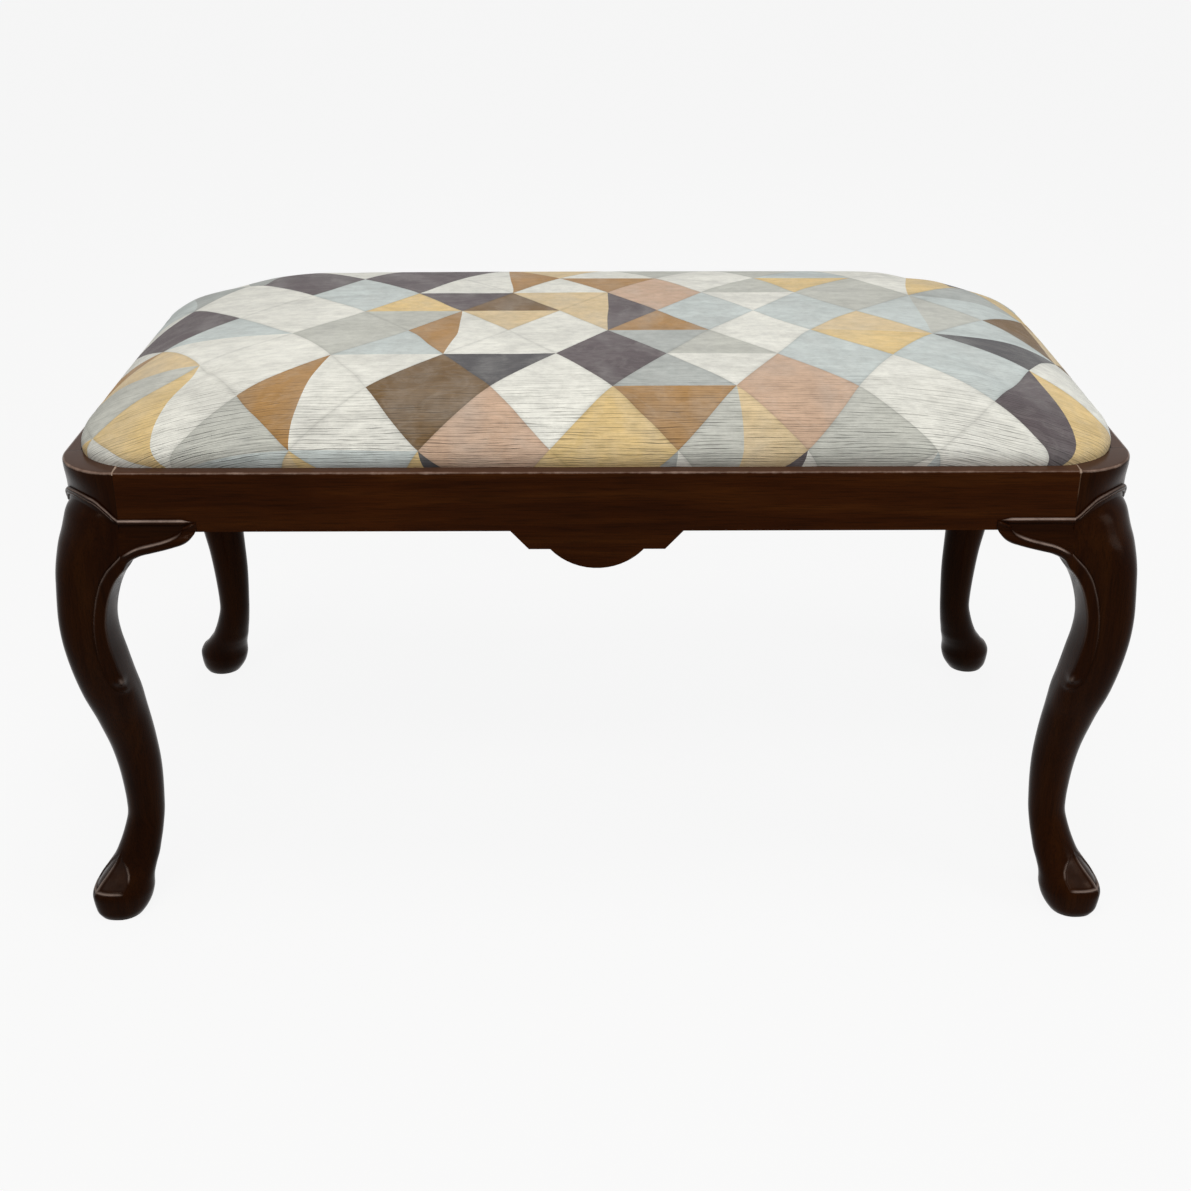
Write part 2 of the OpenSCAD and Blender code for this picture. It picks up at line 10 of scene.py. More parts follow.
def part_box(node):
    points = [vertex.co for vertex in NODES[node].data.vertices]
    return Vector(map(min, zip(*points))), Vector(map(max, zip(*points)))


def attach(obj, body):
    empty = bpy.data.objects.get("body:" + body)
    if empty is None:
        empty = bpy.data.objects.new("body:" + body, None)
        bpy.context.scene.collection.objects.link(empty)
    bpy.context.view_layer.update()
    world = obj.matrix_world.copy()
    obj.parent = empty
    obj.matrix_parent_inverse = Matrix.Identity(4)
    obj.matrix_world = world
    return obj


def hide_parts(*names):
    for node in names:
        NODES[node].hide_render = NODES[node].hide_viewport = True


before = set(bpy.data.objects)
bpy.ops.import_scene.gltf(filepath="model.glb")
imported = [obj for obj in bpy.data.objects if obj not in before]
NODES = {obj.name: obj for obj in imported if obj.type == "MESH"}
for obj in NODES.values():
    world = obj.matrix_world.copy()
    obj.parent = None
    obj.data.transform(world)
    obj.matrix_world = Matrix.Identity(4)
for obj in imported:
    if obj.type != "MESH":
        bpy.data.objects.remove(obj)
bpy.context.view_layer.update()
SCENE = bpy.context.scene

# Sizes read from the frame, in metres
HALF_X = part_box("right_rail")[1].x
HALF_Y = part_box("back_rail")[1].y
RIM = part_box("front_rail")[1].z
RAIL_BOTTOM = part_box("left_rail")[0].z

# Sizes that no box in the frame tells: the rail's thickness, the height that the seat rests at,
# the post's side and the hollow on its corner, the ledge, and the seat opening
RAIL_DEPTH = 0.024
SHELF = 0.409
POST, POST_HOLLOW = 0.052, 0.0040
LEDGE = 0.011
OPEN_X, OPEN_Y = HALF_X - LEDGE, HALF_Y - LEDGE
OPEN_RADIUS = 0.060

CORNERS = (("front_left", -1, -1), ("front_right", 1, -1),
           ("back_left", -1, 1), ("back_right", 1, 1))
SEAT_RAILS = ["seat_rail_front", "seat_rail_back", "seat_rail_left", "seat_rail_right"]


# ---- viewpoint
# Fitted to the bench's outline: focal length and picture width in pixels, place and turns
FOCAL, PICTURE = 1668.64, 1191
CAMERA_AT = (-0.0065, -1.4782, 0.90777)
PAN, LOOK_DOWN, TWIST = -0.00425, 0.44598, -0.00094


def place_camera():
    """The photograph's viewpoint."""
    data = bpy.data.cameras.new("viewpoint")
    data.sensor_width = 36
    data.lens = data.sensor_width * FOCAL / PICTURE
    viewpoint = bpy.data.objects.new("viewpoint", data)
    SCENE.collection.objects.link(viewpoint)
    turn = (Matrix.Rotation(PAN, 4, "Z") @ Matrix.Rotation(math.pi / 2 - LOOK_DOWN, 4, "X")
            @ Matrix.Rotation(TWIST, 4, "Z"))
    viewpoint.matrix_world = Matrix.Translation(CAMERA_AT) @ turn
    SCENE.camera = viewpoint


place_camera()


# ---- finishes
class Shading:
    """Shader nodes, made one after another."""

    def __init__(self, tree):
        self.tree = tree

    def node(self, kind, inputs=(), **settings):
        made = self.tree.nodes.new("ShaderNode" + kind)
        for key, value in settings.items():
            setattr(made, key, value)
        for key, value in dict(inputs).items():
            self.give(made.inputs[key], value)
        return made

    def give(self, socket, value):
        if isinstance(value, bpy.types.NodeSocket):
            self.tree.links.new(value, socket)
        else:
            socket.default_value = value

    def sum(self, how, a, b=0.0, c=0.0):
        return self.node("Math", {0: a, 1: b, 2: c}, operation=how).outputs[0]

    times = partialmethod(sum, "MULTIPLY")
    plus = partialmethod(sum, "ADD")
    minus = partialmethod(sum, "SUBTRACT")
    ratio = partialmethod(sum, "DIVIDE")
    scaled = partialmethod(sum, "MULTIPLY_ADD")
    abs = partialmethod(sum, "ABSOLUTE")
    max = partialmethod(sum, "MAXIMUM")
    min = partialmethod(sum, "MINIMUM")
    above = partialmethod(sum, "GREATER_THAN")
    below = partialmethod(sum, "LESS_THAN")
    floor = partialmethod(sum, "FLOOR")
    fract = partialmethod(sum, "FRACT")
    sine = partialmethod(sum, "SINE")

    def ramp(self, value, stops, how="LINEAR"):
        made = self.node("ValToRGB", {0: value})
        made.color_ramp.interpolation = how
        marks = made.color_ramp.elements
        while len(marks) < len(stops):
            marks.new(0.5)
        for mark, (place, tint) in zip(marks, stops):
            mark.position = place
            mark.color = (*tint, 1) if hasattr(tint, "__len__") else (tint, tint, tint, 1)
        return made.outputs[0]

    def blend(self, share, a, b, how="MIX"):
        made = self.node("Mix", data_type="RGBA", blend_type=how, clamp_factor=True)
        self.give(made.inputs[0], share)
        for slot, value in ((6, a), (7, b)):
            solid = isinstance(value, tuple) and len(value) == 3
            self.give(made.inputs[slot], (*value, 1) if solid else value)
        return made.outputs[2]

    def shade(self, colour, by):
        return self.blend(1.0, colour, by, "MULTIPLY")

    def place(self, scale):
        where = self.node("TexCoord").outputs["Object"]
        return self.node("Mapping", {"Vector": where, "Scale": scale}).outputs[0]

    def noise(self, where, detail, rough, twist=0.0):
        return self.node("TexNoise", {"Vector": where, "Scale": 1.0, "Detail": detail,
                                      "Roughness": rough, "Distortion": twist}).outputs[0]

    def cloud(self, scale, detail, rough):
        return self.noise(self.place((scale, scale, scale)), detail, rough)

    def bump(self, height, depth, strength, under=None):
        made = self.node("Bump", {"Height": height, "Distance": depth, "Strength": strength})
        if under is not None:
            self.give(made.inputs["Normal"], under)
        return made.outputs[0]

    def shown(self):
        """1 where the background is only seen, by the camera or in metal or glass, 0 for light."""
        path = self.node("LightPath").outputs
        seen = self.max(path["Is Camera Ray"], path["Is Transmission Ray"])
        return self.max(seen, path["Is Glossy Ray"])


class Finish(Shading):
    """A material, made of nodes that lead to its shader."""

    def __init__(self, name):
        self.material = bpy.data.materials.new(name)
        self.material.use_nodes = True
        super().__init__(self.material.node_tree)
        self.shader = self.tree.nodes["Principled BSDF"]

    def surface(self, **values):
        for key, value in values.items():
            self.give(self.shader.inputs[key.replace("_", " ")], value)
        return self.material


def mahogany(name, along, tone):
    """Dark lacquered mahogany: grain along one axis, joint lines, nicks, and a paler top, rim arris
    and carved edges, part wear and fade, part painted light.
    """
    f = Finish(name)
    long_way = [1.0 if axis == along else 0.0 for axis in "XYZ"]
    figure = f.noise(f.place([5 if w else 75 for w in long_way]), 5, 0.6, 0.4)
    pores = f.noise(f.place([26 if w else 1100 for w in long_way]), 3, 0.6)
    tints = ((0.042, 0.0088, 0.0014), (0.070, 0.0165, 0.0024), (0.106, 0.0290, 0.0045))
    wood = f.ramp(figure, list(zip((0.28, 0.50, 0.72), tone * np.array(tints))))
    wood = f.shade(wood, f.ramp(pores, [(0.36, 0.62), (0.52, 1.0)]))
    wood = f.shade(wood, f.ramp(f.cloud(7, 3, 0.5), [(0.3, 0.78), (0.7, 1.18)]))

    # Distance in from the rim's rounded outline, and down from its top
    axes = f.node("SeparateXYZ", {0: f.node("TexCoord").outputs["Object"]}).outputs
    side = f.minus(f.abs(axes[0]), HALF_X - POST)
    front = f.minus(f.abs(axes[1]), HALF_Y - POST)
    out = f.node("CombineXYZ", {0: f.max(side, 0.0), 1: f.max(front, 0.0)})
    reach = f.node("VectorMath", {0: out.outputs[0]}, operation="LENGTH").outputs["Value"]
    arris = f.plus(f.minus(reach, POST), f.minus(axes[2], RIM))
    patchy = f.cloud(60, 5, 0.7)
    edge = f.plus(arris, f.times(f.minus(patchy, 0.5), 0.0016))
    # The rim's arris painted pale: partly lacquer wear, partly a painted highlight along the edge
    arris_wear_and_highlight = f.ramp(f.scaled(edge, 320.0, 1.0), [(0.34, 0.0), (0.62, 1.0)])
    arris_wear_and_highlight = f.times(arris_wear_and_highlight, f.ramp(patchy, [(0.30, 0.50), (0.60, 0.95)]))
    # Painted light: the rim's top made lighter as if lit from above, with some fading as well
    lit_and_faded_top = f.times(f.above(axes[2], RIM - 0.0009), 0.42)
    wood = f.blend(lit_and_faded_top, wood, (0.125, 0.068, 0.045))
    wood = f.blend(arris_wear_and_highlight, wood, (0.31, 0.215, 0.17))

    # Hairlines where a rail or a bracket meets the post
    near_side = f.abs(side)
    nearest = f.min(near_side, f.abs(front))
    opened = f.cloud(34, 3, 0.6)
    seam = f.below(nearest, f.scaled(opened, 0.0007, -0.00005))
    seam = f.times(seam, f.above(axes[2], RAIL_BOTTOM + 0.013))
    line = f.blend(f.ramp(opened, [(0.50, 0.0), (0.64, 1.0)]),
                   (0.006, 0.003, 0.0015), (0.15, 0.085, 0.05))
    wood = f.blend(f.times(seam, 0.75), wood, line)
    ledge = f.times(f.above(axes[2], RIM - 0.0022),
                    f.below(near_side, f.scaled(opened, 0.0022, -0.0005)))
    wood = f.blend(f.times(ledge, 0.8), wood, (0.42, 0.31, 0.235))

    # Carved edges painted pale: partly lacquer wear, partly painted highlight
    edge_wear_and_highlight = f.times(f.node("Attribute", attribute_name="edge_wear_and_highlight").outputs["Fac"],
                     f.ramp(patchy, [(0.32, 0.45), (0.58, 0.95)]))
    wood = f.blend(edge_wear_and_highlight, wood, (0.34, 0.255, 0.215))

    # A few small nicks through the lacquer
    cells = f.node("TexVoronoi", {"Vector": f.place((1, 1, 1)), "Scale": 34.0, "Randomness": 1.0})
    draw = f.node("SeparateColor", {0: cells.outputs["Color"]}).outputs[0]
    picked = f.above(draw, 0.80)
    ragged = f.plus(cells.outputs["Distance"], f.times(f.cloud(190, 2, 0.5), 0.05))
    nick = f.times(f.below(ragged, 0.062), picked)
    wood = f.blend(f.times(nick, 0.6), wood, (0.17, 0.105, 0.07))

    rough = f.ramp(f.cloud(38, 4, 0.6), [(0.3, 0.16), (0.7, 0.27)])
    relief = f.bump(pores, 0.00006, 0.5, f.bump(figure, 0.00025, 0.4))
    relief = f.bump(f.minus(1.0, nick), 0.0003, 0.6, relief)
    relief = f.bump(f.minus(1.0, seam), 0.0005, 0.8, relief)
    return f.surface(Base_Color=wood, Roughness=rough, Normal=relief, Specular_IOR_Level=0.04,
                     Specular_Tint=(1.0, 0.72, 0.54, 1))


def raw_wood(name, along, pale, deep, rough):
    """Unpolished timber of the hidden pieces, with saw marks across the grain."""
    f = Finish(name)
    long_way = [w == along for w in "XYZ"]
    figure = f.noise(f.place([4 if w else 60 for w in long_way]), 6, 0.6, 0.6)
    fleck = f.noise(f.place([60 if w else 900 for w in long_way]), 3, 0.6)
    saw = f.noise(f.place([420 if w else 8 for w in long_way]), 2, 0.4)
    tint = f.ramp(figure, [(0.3, deep), (0.7, pale)])
    tint = f.shade(tint, f.ramp(fleck, [(0.35, 0.72), (0.55, 1.0)]))
    relief = f.bump(saw, 0.0002, 0.35, f.bump(fleck, 0.0001, 0.5))
    return f.surface(Base_Color=tint, Roughness=rough, Normal=relief, Specular_IOR_Level=0.25)


def steel(name, tint, rough):
    """Plain steel with fine turning marks and a little tarnish."""
    f = Finish(name)
    tarnish = f.cloud(260, 5, 0.65)
    marks = f.noise(f.place((2400, 2400, 300)), 2, 0.5)
    colour = f.blend(f.ramp(tarnish, [(0.42, 0.0), (0.70, 1.0)]), tint, (0.16, 0.11, 0.075))
    roughness = f.ramp(tarnish, [(0.3, rough), (0.7, min(rough + 0.25, 1.0))])
    return f.surface(Base_Color=colour, Roughness=roughness, Normal=f.bump(marks, 0.00003, 0.4),
                     Metallic=0.9)


def woven(name, pale, deep, thread):
    """A plain weave in Object coordinates: two crossing sets of threads."""
    f = Finish(name)
    axes = f.node("SeparateXYZ", {0: f.node("TexCoord").outputs["Object"]}).outputs
    turns = math.pi / thread
    warp = f.abs(f.sine(f.times(axes[0], turns)))
    weft = f.abs(f.sine(f.times(axes[1], turns)))
    cloth = f.times(warp, weft)
    slub = f.noise(f.place((24, 420, 24)), 4, 0.6)
    slub = f.times(slub, f.noise(f.place((420, 24, 24)), 4, 0.6))
    tint = f.blend(f.ramp(slub, [(0.12, 0.0), (0.38, 1.0)]), deep, pale)
    tint = f.shade(tint, f.ramp(cloth, [(0.0, 0.55), (0.5, 1.0)]))
    relief = f.bump(cloth, thread * 0.3, 0.8, f.bump(slub, 0.0003, 0.4))
    return f.surface(Base_Color=tint, Roughness=0.95, Normal=relief, Specular_IOR_Level=0.2,
                     Sheen_Weight=0.15, Sheen_Roughness=0.6)


def foam_finish():
    f = Finish("open_cell_foam")
    cells = f.node("TexVoronoi", {"Vector": f.place((1, 1, 1)), "Scale": 700.0}).outputs["Distance"]
    tint = f.ramp(f.cloud(9, 3, 0.5), [(0.3, (0.72, 0.62, 0.40)), (0.7, (0.86, 0.79, 0.60))])
    return f.surface(Base_Color=tint, Roughness=0.95, Normal=f.bump(cells, 0.0004, 0.7),
                     Specular_IOR_Level=0.2)


LOZENGE = 0.088, 0.122


def patchwork_print():
    """Slub cotton printed with lozenges in watercolour tints, drawn on the cloth's own flat cut."""
    f = Finish("patchwork_print")
    cut = f.node("UVMap", uv_map="flat_cut").outputs[0]
    cut = f.node("VectorMath", {0: cut, 1: (0.5, 0.5, 0.0)}, operation="SUBTRACT").outputs[0]

    def over(scale, detail, rough, twist=0.0):
        where = f.node("Mapping", {"Vector": cut, "Scale": (*scale, 1)}).outputs[0]
        return f.noise(where, detail, rough, twist)

    axes = f.node("SeparateXYZ", {0: cut}).outputs
    drift = f.times(f.minus(over((9, 9), 2, 0.5), 0.5), 0.006)
    across = f.ratio(f.plus(axes[0], drift), LOZENGE[0])
    along = f.ratio(f.plus(axes[1], drift), LOZENGE[1])
    one = f.plus(f.plus(across, along), 40.37)
    two = f.plus(f.minus(across, along), 40.37)
    cell_one, cell_two = f.floor(one), f.floor(two)
    in_one, in_two = f.fract(one), f.fract(two)

    def pick(layer):
        """A draw for each lozenge, another in each layer."""
        cell = f.node("CombineXYZ", {0: cell_one, 1: cell_two, 2: layer})
        return f.node("TexWhiteNoise", {"Vector": cell.outputs[0]}).outputs["Value"]

    # Some of the lozenges are halved across or along, and the others are plain
    choice = pick(3.0)
    upper = f.above(in_one, in_two)
    right = f.above(f.plus(in_one, in_two), 1.0)
    halved = f.below(choice, 0.36)
    cross = f.times(f.above(choice, 0.36), f.below(choice, 0.62))
    part = f.plus(f.times(upper, halved), f.times(right, cross))
    tint = pick(f.times(part, 7.0))
    ivory, mist, silver = (0.83, 0.825, 0.755), (0.585, 0.640, 0.625), (0.445, 0.470, 0.450)
    ochre, sand, caramel = (0.76, 0.560, 0.260), (0.72, 0.560, 0.330), (0.42, 0.235, 0.085)
    umber, mauve, slate = (0.185, 0.110, 0.046), (0.115, 0.092, 0.098), (0.092, 0.088, 0.092)
    rose, dove = (0.62, 0.43, 0.305), (0.56, 0.565, 0.510)
    colour = f.ramp(tint, [
        (0.00, ivory), (0.15, mist), (0.27, silver), (0.36, ochre), (0.47, ivory), (0.55, mauve),
        (0.63, dove), (0.72, caramel), (0.79, mist), (0.86, slate), (0.92, sand), (0.97, umber)],
        "CONSTANT")
    colour = f.blend(f.below(pick(11.0), 0.05), colour, rose)

    # Washes of watercolour: cloudy tints, pooled at the edges of each patch
    wash = over((11, 26), 5, 0.62, 0.8)
    colour = f.shade(colour, f.ramp(wash, [(0.28, 0.80), (0.55, 1.0), (0.75, 1.10)]))
    greyed = f.ramp(over((30, 12), 3, 0.5), [(0.45, 0.0), (0.72, 0.22)])
    colour = f.blend(greyed, colour, (0.50, 0.50, 0.48))
    veins = f.abs(f.minus(over((24, 34), 5, 0.62, 0.9), 0.5))
    colour = f.blend(f.ramp(veins, [(0.0, 0.055), (0.06, 0.0)]), colour, (0.78, 0.76, 0.70))
    colour = f.shade(colour, f.ramp(over((95, 130), 5, 0.75), [(0.32, 0.84), (0.60, 1.04)]))
    rim_one = f.min(in_one, f.minus(1.0, in_one))
    rim_two = f.min(in_two, f.minus(1.0, in_two))
    rim = f.min(rim_one, rim_two)
    colour = f.shade(colour, f.ramp(rim, [(0.0, 0.80), (0.010, 0.91), (0.040, 1.0)]))

    # Crinkles of the slub along the bench, as bumps and as painted shade in the colour, strongest
    # where the cloth turns down
    def thin_lines(apart, stray, width):
        level = f.scaled(axes[1], 1 / apart, f.times(over((7, 42), 2, 0.55), stray))
        level = f.scaled(over((34, 210), 2, 0.5), stray * 0.42, level)
        near = f.abs(f.minus(f.fract(level), 0.5))
        return f.ramp(near, [(0.0, 1.0), (width * 0.4, 0.8), (width, 0.0)])

    breaks = f.ramp(over((34, 380), 2, 0.6), [(0.40, 0.08), (0.58, 1.0)])
    slub_crease_lines = f.times(thin_lines(0.0027, 3.2, 0.19), breaks)
    finer_shaded_creases = thin_lines(0.0017, 3.0, 0.26)
    turned = f.ramp(f.abs(axes[1]), [(0.110, 0.14), (0.185, 0.55), (0.235, 1.0)])
    shaded_creases = f.times(slub_crease_lines, turned)
    colour = f.blend(f.times(shaded_creases, 0.80), colour, f.shade(colour, (0.36, 0.355, 0.35)))
    colour = f.blend(f.times(finer_shaded_creases, f.scaled(turned, 0.16, 0.08)), colour,
                     f.shade(colour, (0.50, 0.49, 0.47)))
    threads = over((1600, 2600), 2, 0.5)
    relief = f.bump(f.minus(1.0, shaded_creases), 0.0006, 0.7)
    relief = f.bump(f.minus(1.0, finer_shaded_creases), 0.0003, 0.6, relief)
    relief = f.bump(threads, 0.0002, 0.35, relief)
    relief = f.bump(over((14, 40), 3, 0.5), 0.0022, 0.35, relief)
    return f.surface(Base_Color=colour, Roughness=0.86, Normal=relief, Specular_IOR_Level=0.25,
                     Sheen_Weight=0.12, Sheen_Roughness=0.5)


MAHOGANY = {way: mahogany("mahogany_grain_" + way.lower(), way, tone)
            for way, tone in (("X", 0.50), ("Y", 0.44), ("Z", 0.25))}
BRACKET_WOOD = {way: mahogany("bracket_grain_" + way.lower(), way, 0.27) for way in "XY"}
BLOCK_WOOD = raw_wood("block_wood", "X", (0.19, 0.085, 0.038), (0.10, 0.042, 0.020), 0.7)
BEECH = {
    way: raw_wood("beech_grain_" + way.lower(), way, (0.56, 0.37, 0.19), (0.42, 0.25, 0.12), 0.75)
    for way in "XY"}
SCREW_STEEL = steel("screw_steel", (0.42, 0.41, 0.39), 0.36)
TACK_STEEL = steel("blued_tack_steel", (0.10, 0.105, 0.12), 0.34)
JUTE = woven("jute_webbing", (0.46, 0.31, 0.14), (0.27, 0.17, 0.075), 0.0022)
HESSIAN = woven("hessian_sacking", (0.42, 0.29, 0.14), (0.24, 0.155, 0.07), 0.0016)
CAMBRIC = woven("black_cambric", (0.020, 0.020, 0.023), (0.010, 0.010, 0.012), 0.0007)
FOAM = foam_finish()
PRINT = patchwork_print()


for material, dressed in (
        (MAHOGANY["X"], ("front_rail", "back_rail")),
        (MAHOGANY["Y"], ("left_rail", "right_rail")),
        (BEECH["X"], SEAT_RAILS[:2]),
        (BEECH["Y"], SEAT_RAILS[2:]),
        (BLOCK_WOOD, ["block_" + name for name, _, _ in CORNERS]),
        (SCREW_STEEL, ("block_screws",)),
        (TACK_STEEL, ("cover_tacks",))):
    for node in dressed:
        NODES[node].data.materials.clear()
        NODES[node].data.materials.append(material)


# ---- making
def bent_grid(place, columns, rows, around=False, highlight_and_wear=None):
    """A grid bent over a surface: place takes two arrays from 0 to 1 and gives the points,
    and the last function says how pale the surface is painted there, partly lacquer wear and partly
    painted highlight."""
    bm = bmesh.new()
    bmesh.ops.create_grid(bm, x_segments=columns, y_segments=rows, size=1)
    flat = np.array([p.co[:2] for p in bm.verts])
    flat = (flat - flat.min(0)) / (flat.max(0) - flat.min(0))
    edge_wear_and_highlight = bm.verts.layers.float.new("edge_wear_and_highlight")
    if highlight_and_wear is not None:
        for point, much in zip(bm.verts, highlight_and_wear(flat[:, 0], flat[:, 1])):
            point[edge_wear_and_highlight] = much
    for point, there in zip(bm.verts, place(flat[:, 0], flat[:, 1])):
        point.co = there
    if around:
        weld(bm)
    return bm


def weld(bm):
    bmesh.ops.remove_doubles(bm, verts=bm.verts, dist=1e-6)


def face_out(bm):
    bmesh.ops.recalc_face_normals(bm, faces=bm.faces)


def crest(value, middle, width):
    """A smooth hump, 1 in the middle."""
    return np.exp(-((value - middle) / width) ** 2)


def close_ends(bm):
    bmesh.ops.holes_fill(bm, edges=bm.edges, sides=0)
    face_out(bm)


def piece(name, bm, body, material, slot, *nodes, sharp=35):
    """Makes the object from its mesh, in place, puts it under its body, and hides the CAD parts
    that it replaces.
    """
    mesh = bpy.data.meshes.new(name)
    bm.to_mesh(mesh)
    bm.free()
    mesh.materials.append(material)
    mesh.shade_smooth()
    mesh.set_sharp_from_angle(angle=math.radians(sharp))
    made = bpy.data.objects.new(name, mesh)
    SCENE.collection.objects.link(made)
    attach(made, body)
    if nodes:
        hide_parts(*nodes)
    return made


def smooth_through(knots, values, at):
    """A smooth curve through points, by cubics with the slopes of their neighbours."""
    knots, values = np.asarray(knots, float), np.asarray(values, float)
    slopes = np.gradient(values, knots)
    i = np.clip(np.searchsorted(knots, at) - 1, 0, len(knots) - 2)
    step = knots[i + 1] - knots[i]
    t = np.clip((at - knots[i]) / step, 0, 1)
    return ((2 * t**3 - 3 * t**2 + 1) * values[i] + (t**3 - 2 * t**2 + t) * step * slopes[i]
            + (3 * t**2 - 2 * t**3) * values[i + 1] + (t**3 - t**2) * step * slopes[i + 1])


def ease(value, low, high):
    """From 0 at low to 1 at high, slow at both ends."""
    t = np.clip((value - low) / (high - low), 0, 1)
    return t * t * (3 - 2 * t)


def plateau(value, a, b, c, d):
    """Up from 0 at a to 1 at b, and down again from c to d."""
    return ease(value, a, b) * (1 - ease(value, c, d))


def at_corner(bm, sx, sy, swap=False):
    """Moves a mesh made at the front left corner, outer faces on the axes, to another corner."""
    if swap:
        across = Matrix(((0, 1, 0, 0), (1, 0, 0, 0), (0, 0, 1, 0), (0, 0, 0, 1)))
        bmesh.ops.transform(bm, matrix=across, verts=bm.verts)
    bmesh.ops.translate(bm, vec=(-HALF_X, -HALF_Y, 0), verts=bm.verts)
    bmesh.ops.scale(bm, vec=(-sx, -sy, 1), verts=bm.verts)
    face_out(bm)
    return bm


# ---- legs
# Height as a share of the leg's height to the rail, then centre and half width
# as shares of the post, and the squareness of the outer, side and inner corners
LEG = np.array([
    [0.000, 0.152, 0.365, 2.6, 2, 2], [0.012, 0.163, 0.420, 2.8, 2, 2],
    [0.030, 0.190, 0.468, 3.2, 2, 2], [0.050, 0.208, 0.497, 3.5, 2, 2],
    [0.060, 0.214, 0.505, 3.6, 2, 2], [0.067, 0.218, 0.503, 3.5, 2, 2],
    [0.086, 0.256, 0.474, 3.2, 2, 2], [0.112, 0.352, 0.420, 2.7, 2, 2],
    [0.134, 0.434, 0.384, 2.4, 2, 2], [0.158, 0.494, 0.358, 2.2, 2, 2],
    [0.182, 0.546, 0.340, 2.1, 2, 2], [0.206, 0.588, 0.325, 2, 2, 2],
    [0.235, 0.629, 0.311, 2, 2, 2], [0.270, 0.643, 0.316, 2, 2, 2],
    [0.315, 0.646, 0.333, 2, 2, 2], [0.370, 0.634, 0.355, 2, 2, 2],
    [0.428, 0.598, 0.376, 2.1, 2, 2], [0.484, 0.542, 0.406, 2.2, 2.1, 2],
    [0.527, 0.492, 0.428, 2.3, 2.2, 2], [0.553, 0.458, 0.444, 2.4, 2.5, 2.1],
    [0.575, 0.430, 0.456, 2.5, 2.8, 2.2], [0.622, 0.370, 0.462, 2.6, 3.8, 2.2],
    [0.684, 0.304, 0.460, 2.7, 5, 2.3], [0.735, 0.260, 0.446, 2.8, 5, 2.4],
    [0.786, 0.250, 0.444, 2.8, 5, 2.5], [0.832, 0.286, 0.468, 2.8, 5, 2.6],
    [0.868, 0.338, 0.508, 2.8, 5, 2.8], [0.896, 0.402, 0.565, 2.8, 5, 3],
    [0.918, 0.478, 0.631, 2.7, 5, 3.4], [0.940, 0.556, 0.694, 2.5, 5, 3.6],
    [0.963, 0.622, 0.734, 2.3, 4.4, 3.6], [0.979, 0.664, 0.742, 2.15, 3.8, 3.4],
    [1.000, 0.706, 0.748, 2.05, 3.2, 3], [1.030, 0.748, 0.722, 1.95, 3, 3],
    [1.055, 0.815, 0.650, 1.90, 3, 3], [1.078, 0.850, 0.560, 1.85, 3, 3],
    [1.092, 0.870, 0.500, 1.80, 3, 3]])
# The carved scroll beside the inner arris: height, and how far its outer line lies in
SCROLL = np.array([
    [0.2260, 0.0020], [0.2272, 0.0048], [0.2290, 0.0082], [0.2320, 0.0116], [0.2370, 0.0138],
    [0.2440, 0.0148], [0.2540, 0.0154], [0.2665, 0.0150], [0.2810, 0.0138], [0.2950, 0.0130],
    [0.3095, 0.0132], [0.3230, 0.0140], [0.3340, 0.0158], [0.3435, 0.0180], [0.3500, 0.0174],
    [0.3555, 0.0160], [0.3700, 0.0150]])
# Where it starts and ends, its groove, and the spur at its foot
SCROLL_SPAN = 0.224, 0.240, 0.352, 0.374
GROOVE = 0.0009
SPUR = 0.2405
# The toe's sunk panels, and the crest between them: depth and height
PANEL_DEPTH, TOE_CREST = 0.0019, 0.0008
# The panels' outline: height, and how far round from the toe they reach, in degrees
TOE_PANEL = np.array([
    [0.0250, 53], [0.0296, 56], [0.0353, 59], [0.0424, 49], [0.0472, 36], [0.0540, 10],
    [0.0570, 4]])
# The leg's fixed columns, as shares of the way round, and the leg's height at shares of its rows
STOPS = np.array([0, 0.10, 0.26, 0.44, 0.47, 0.50, 0.64, 0.80, 1.0])
LEG_LEVELS = [(0, 0), (0.08, 0.025), (0.14, 0.032), (0.26, 0.058), (0.30, 0.080), (0.50, 0.221),
              (0.63, 0.247), (0.90, 0.362), (1, 1.092 * RAIL_BOTTOM)]


def fair(z, column):
    """A leg's measure at a height, evened out above the foot."""
    level = np.arange(0, 1.0925, 0.0025)
    row = smooth_through(LEG[:, 0], LEG[:, column], level)
    weight = crest(np.arange(-8, 9), 0, 3.4)
    padded = np.pad(row, 8, mode="reflect", reflect_type="odd")
    even = np.convolve(padded, weight / weight.sum(), "valid")
    row = row + (even - row) * ease(level, 0.16, 0.26)
    return np.interp(z / RAIL_BOTTOM, level, row)


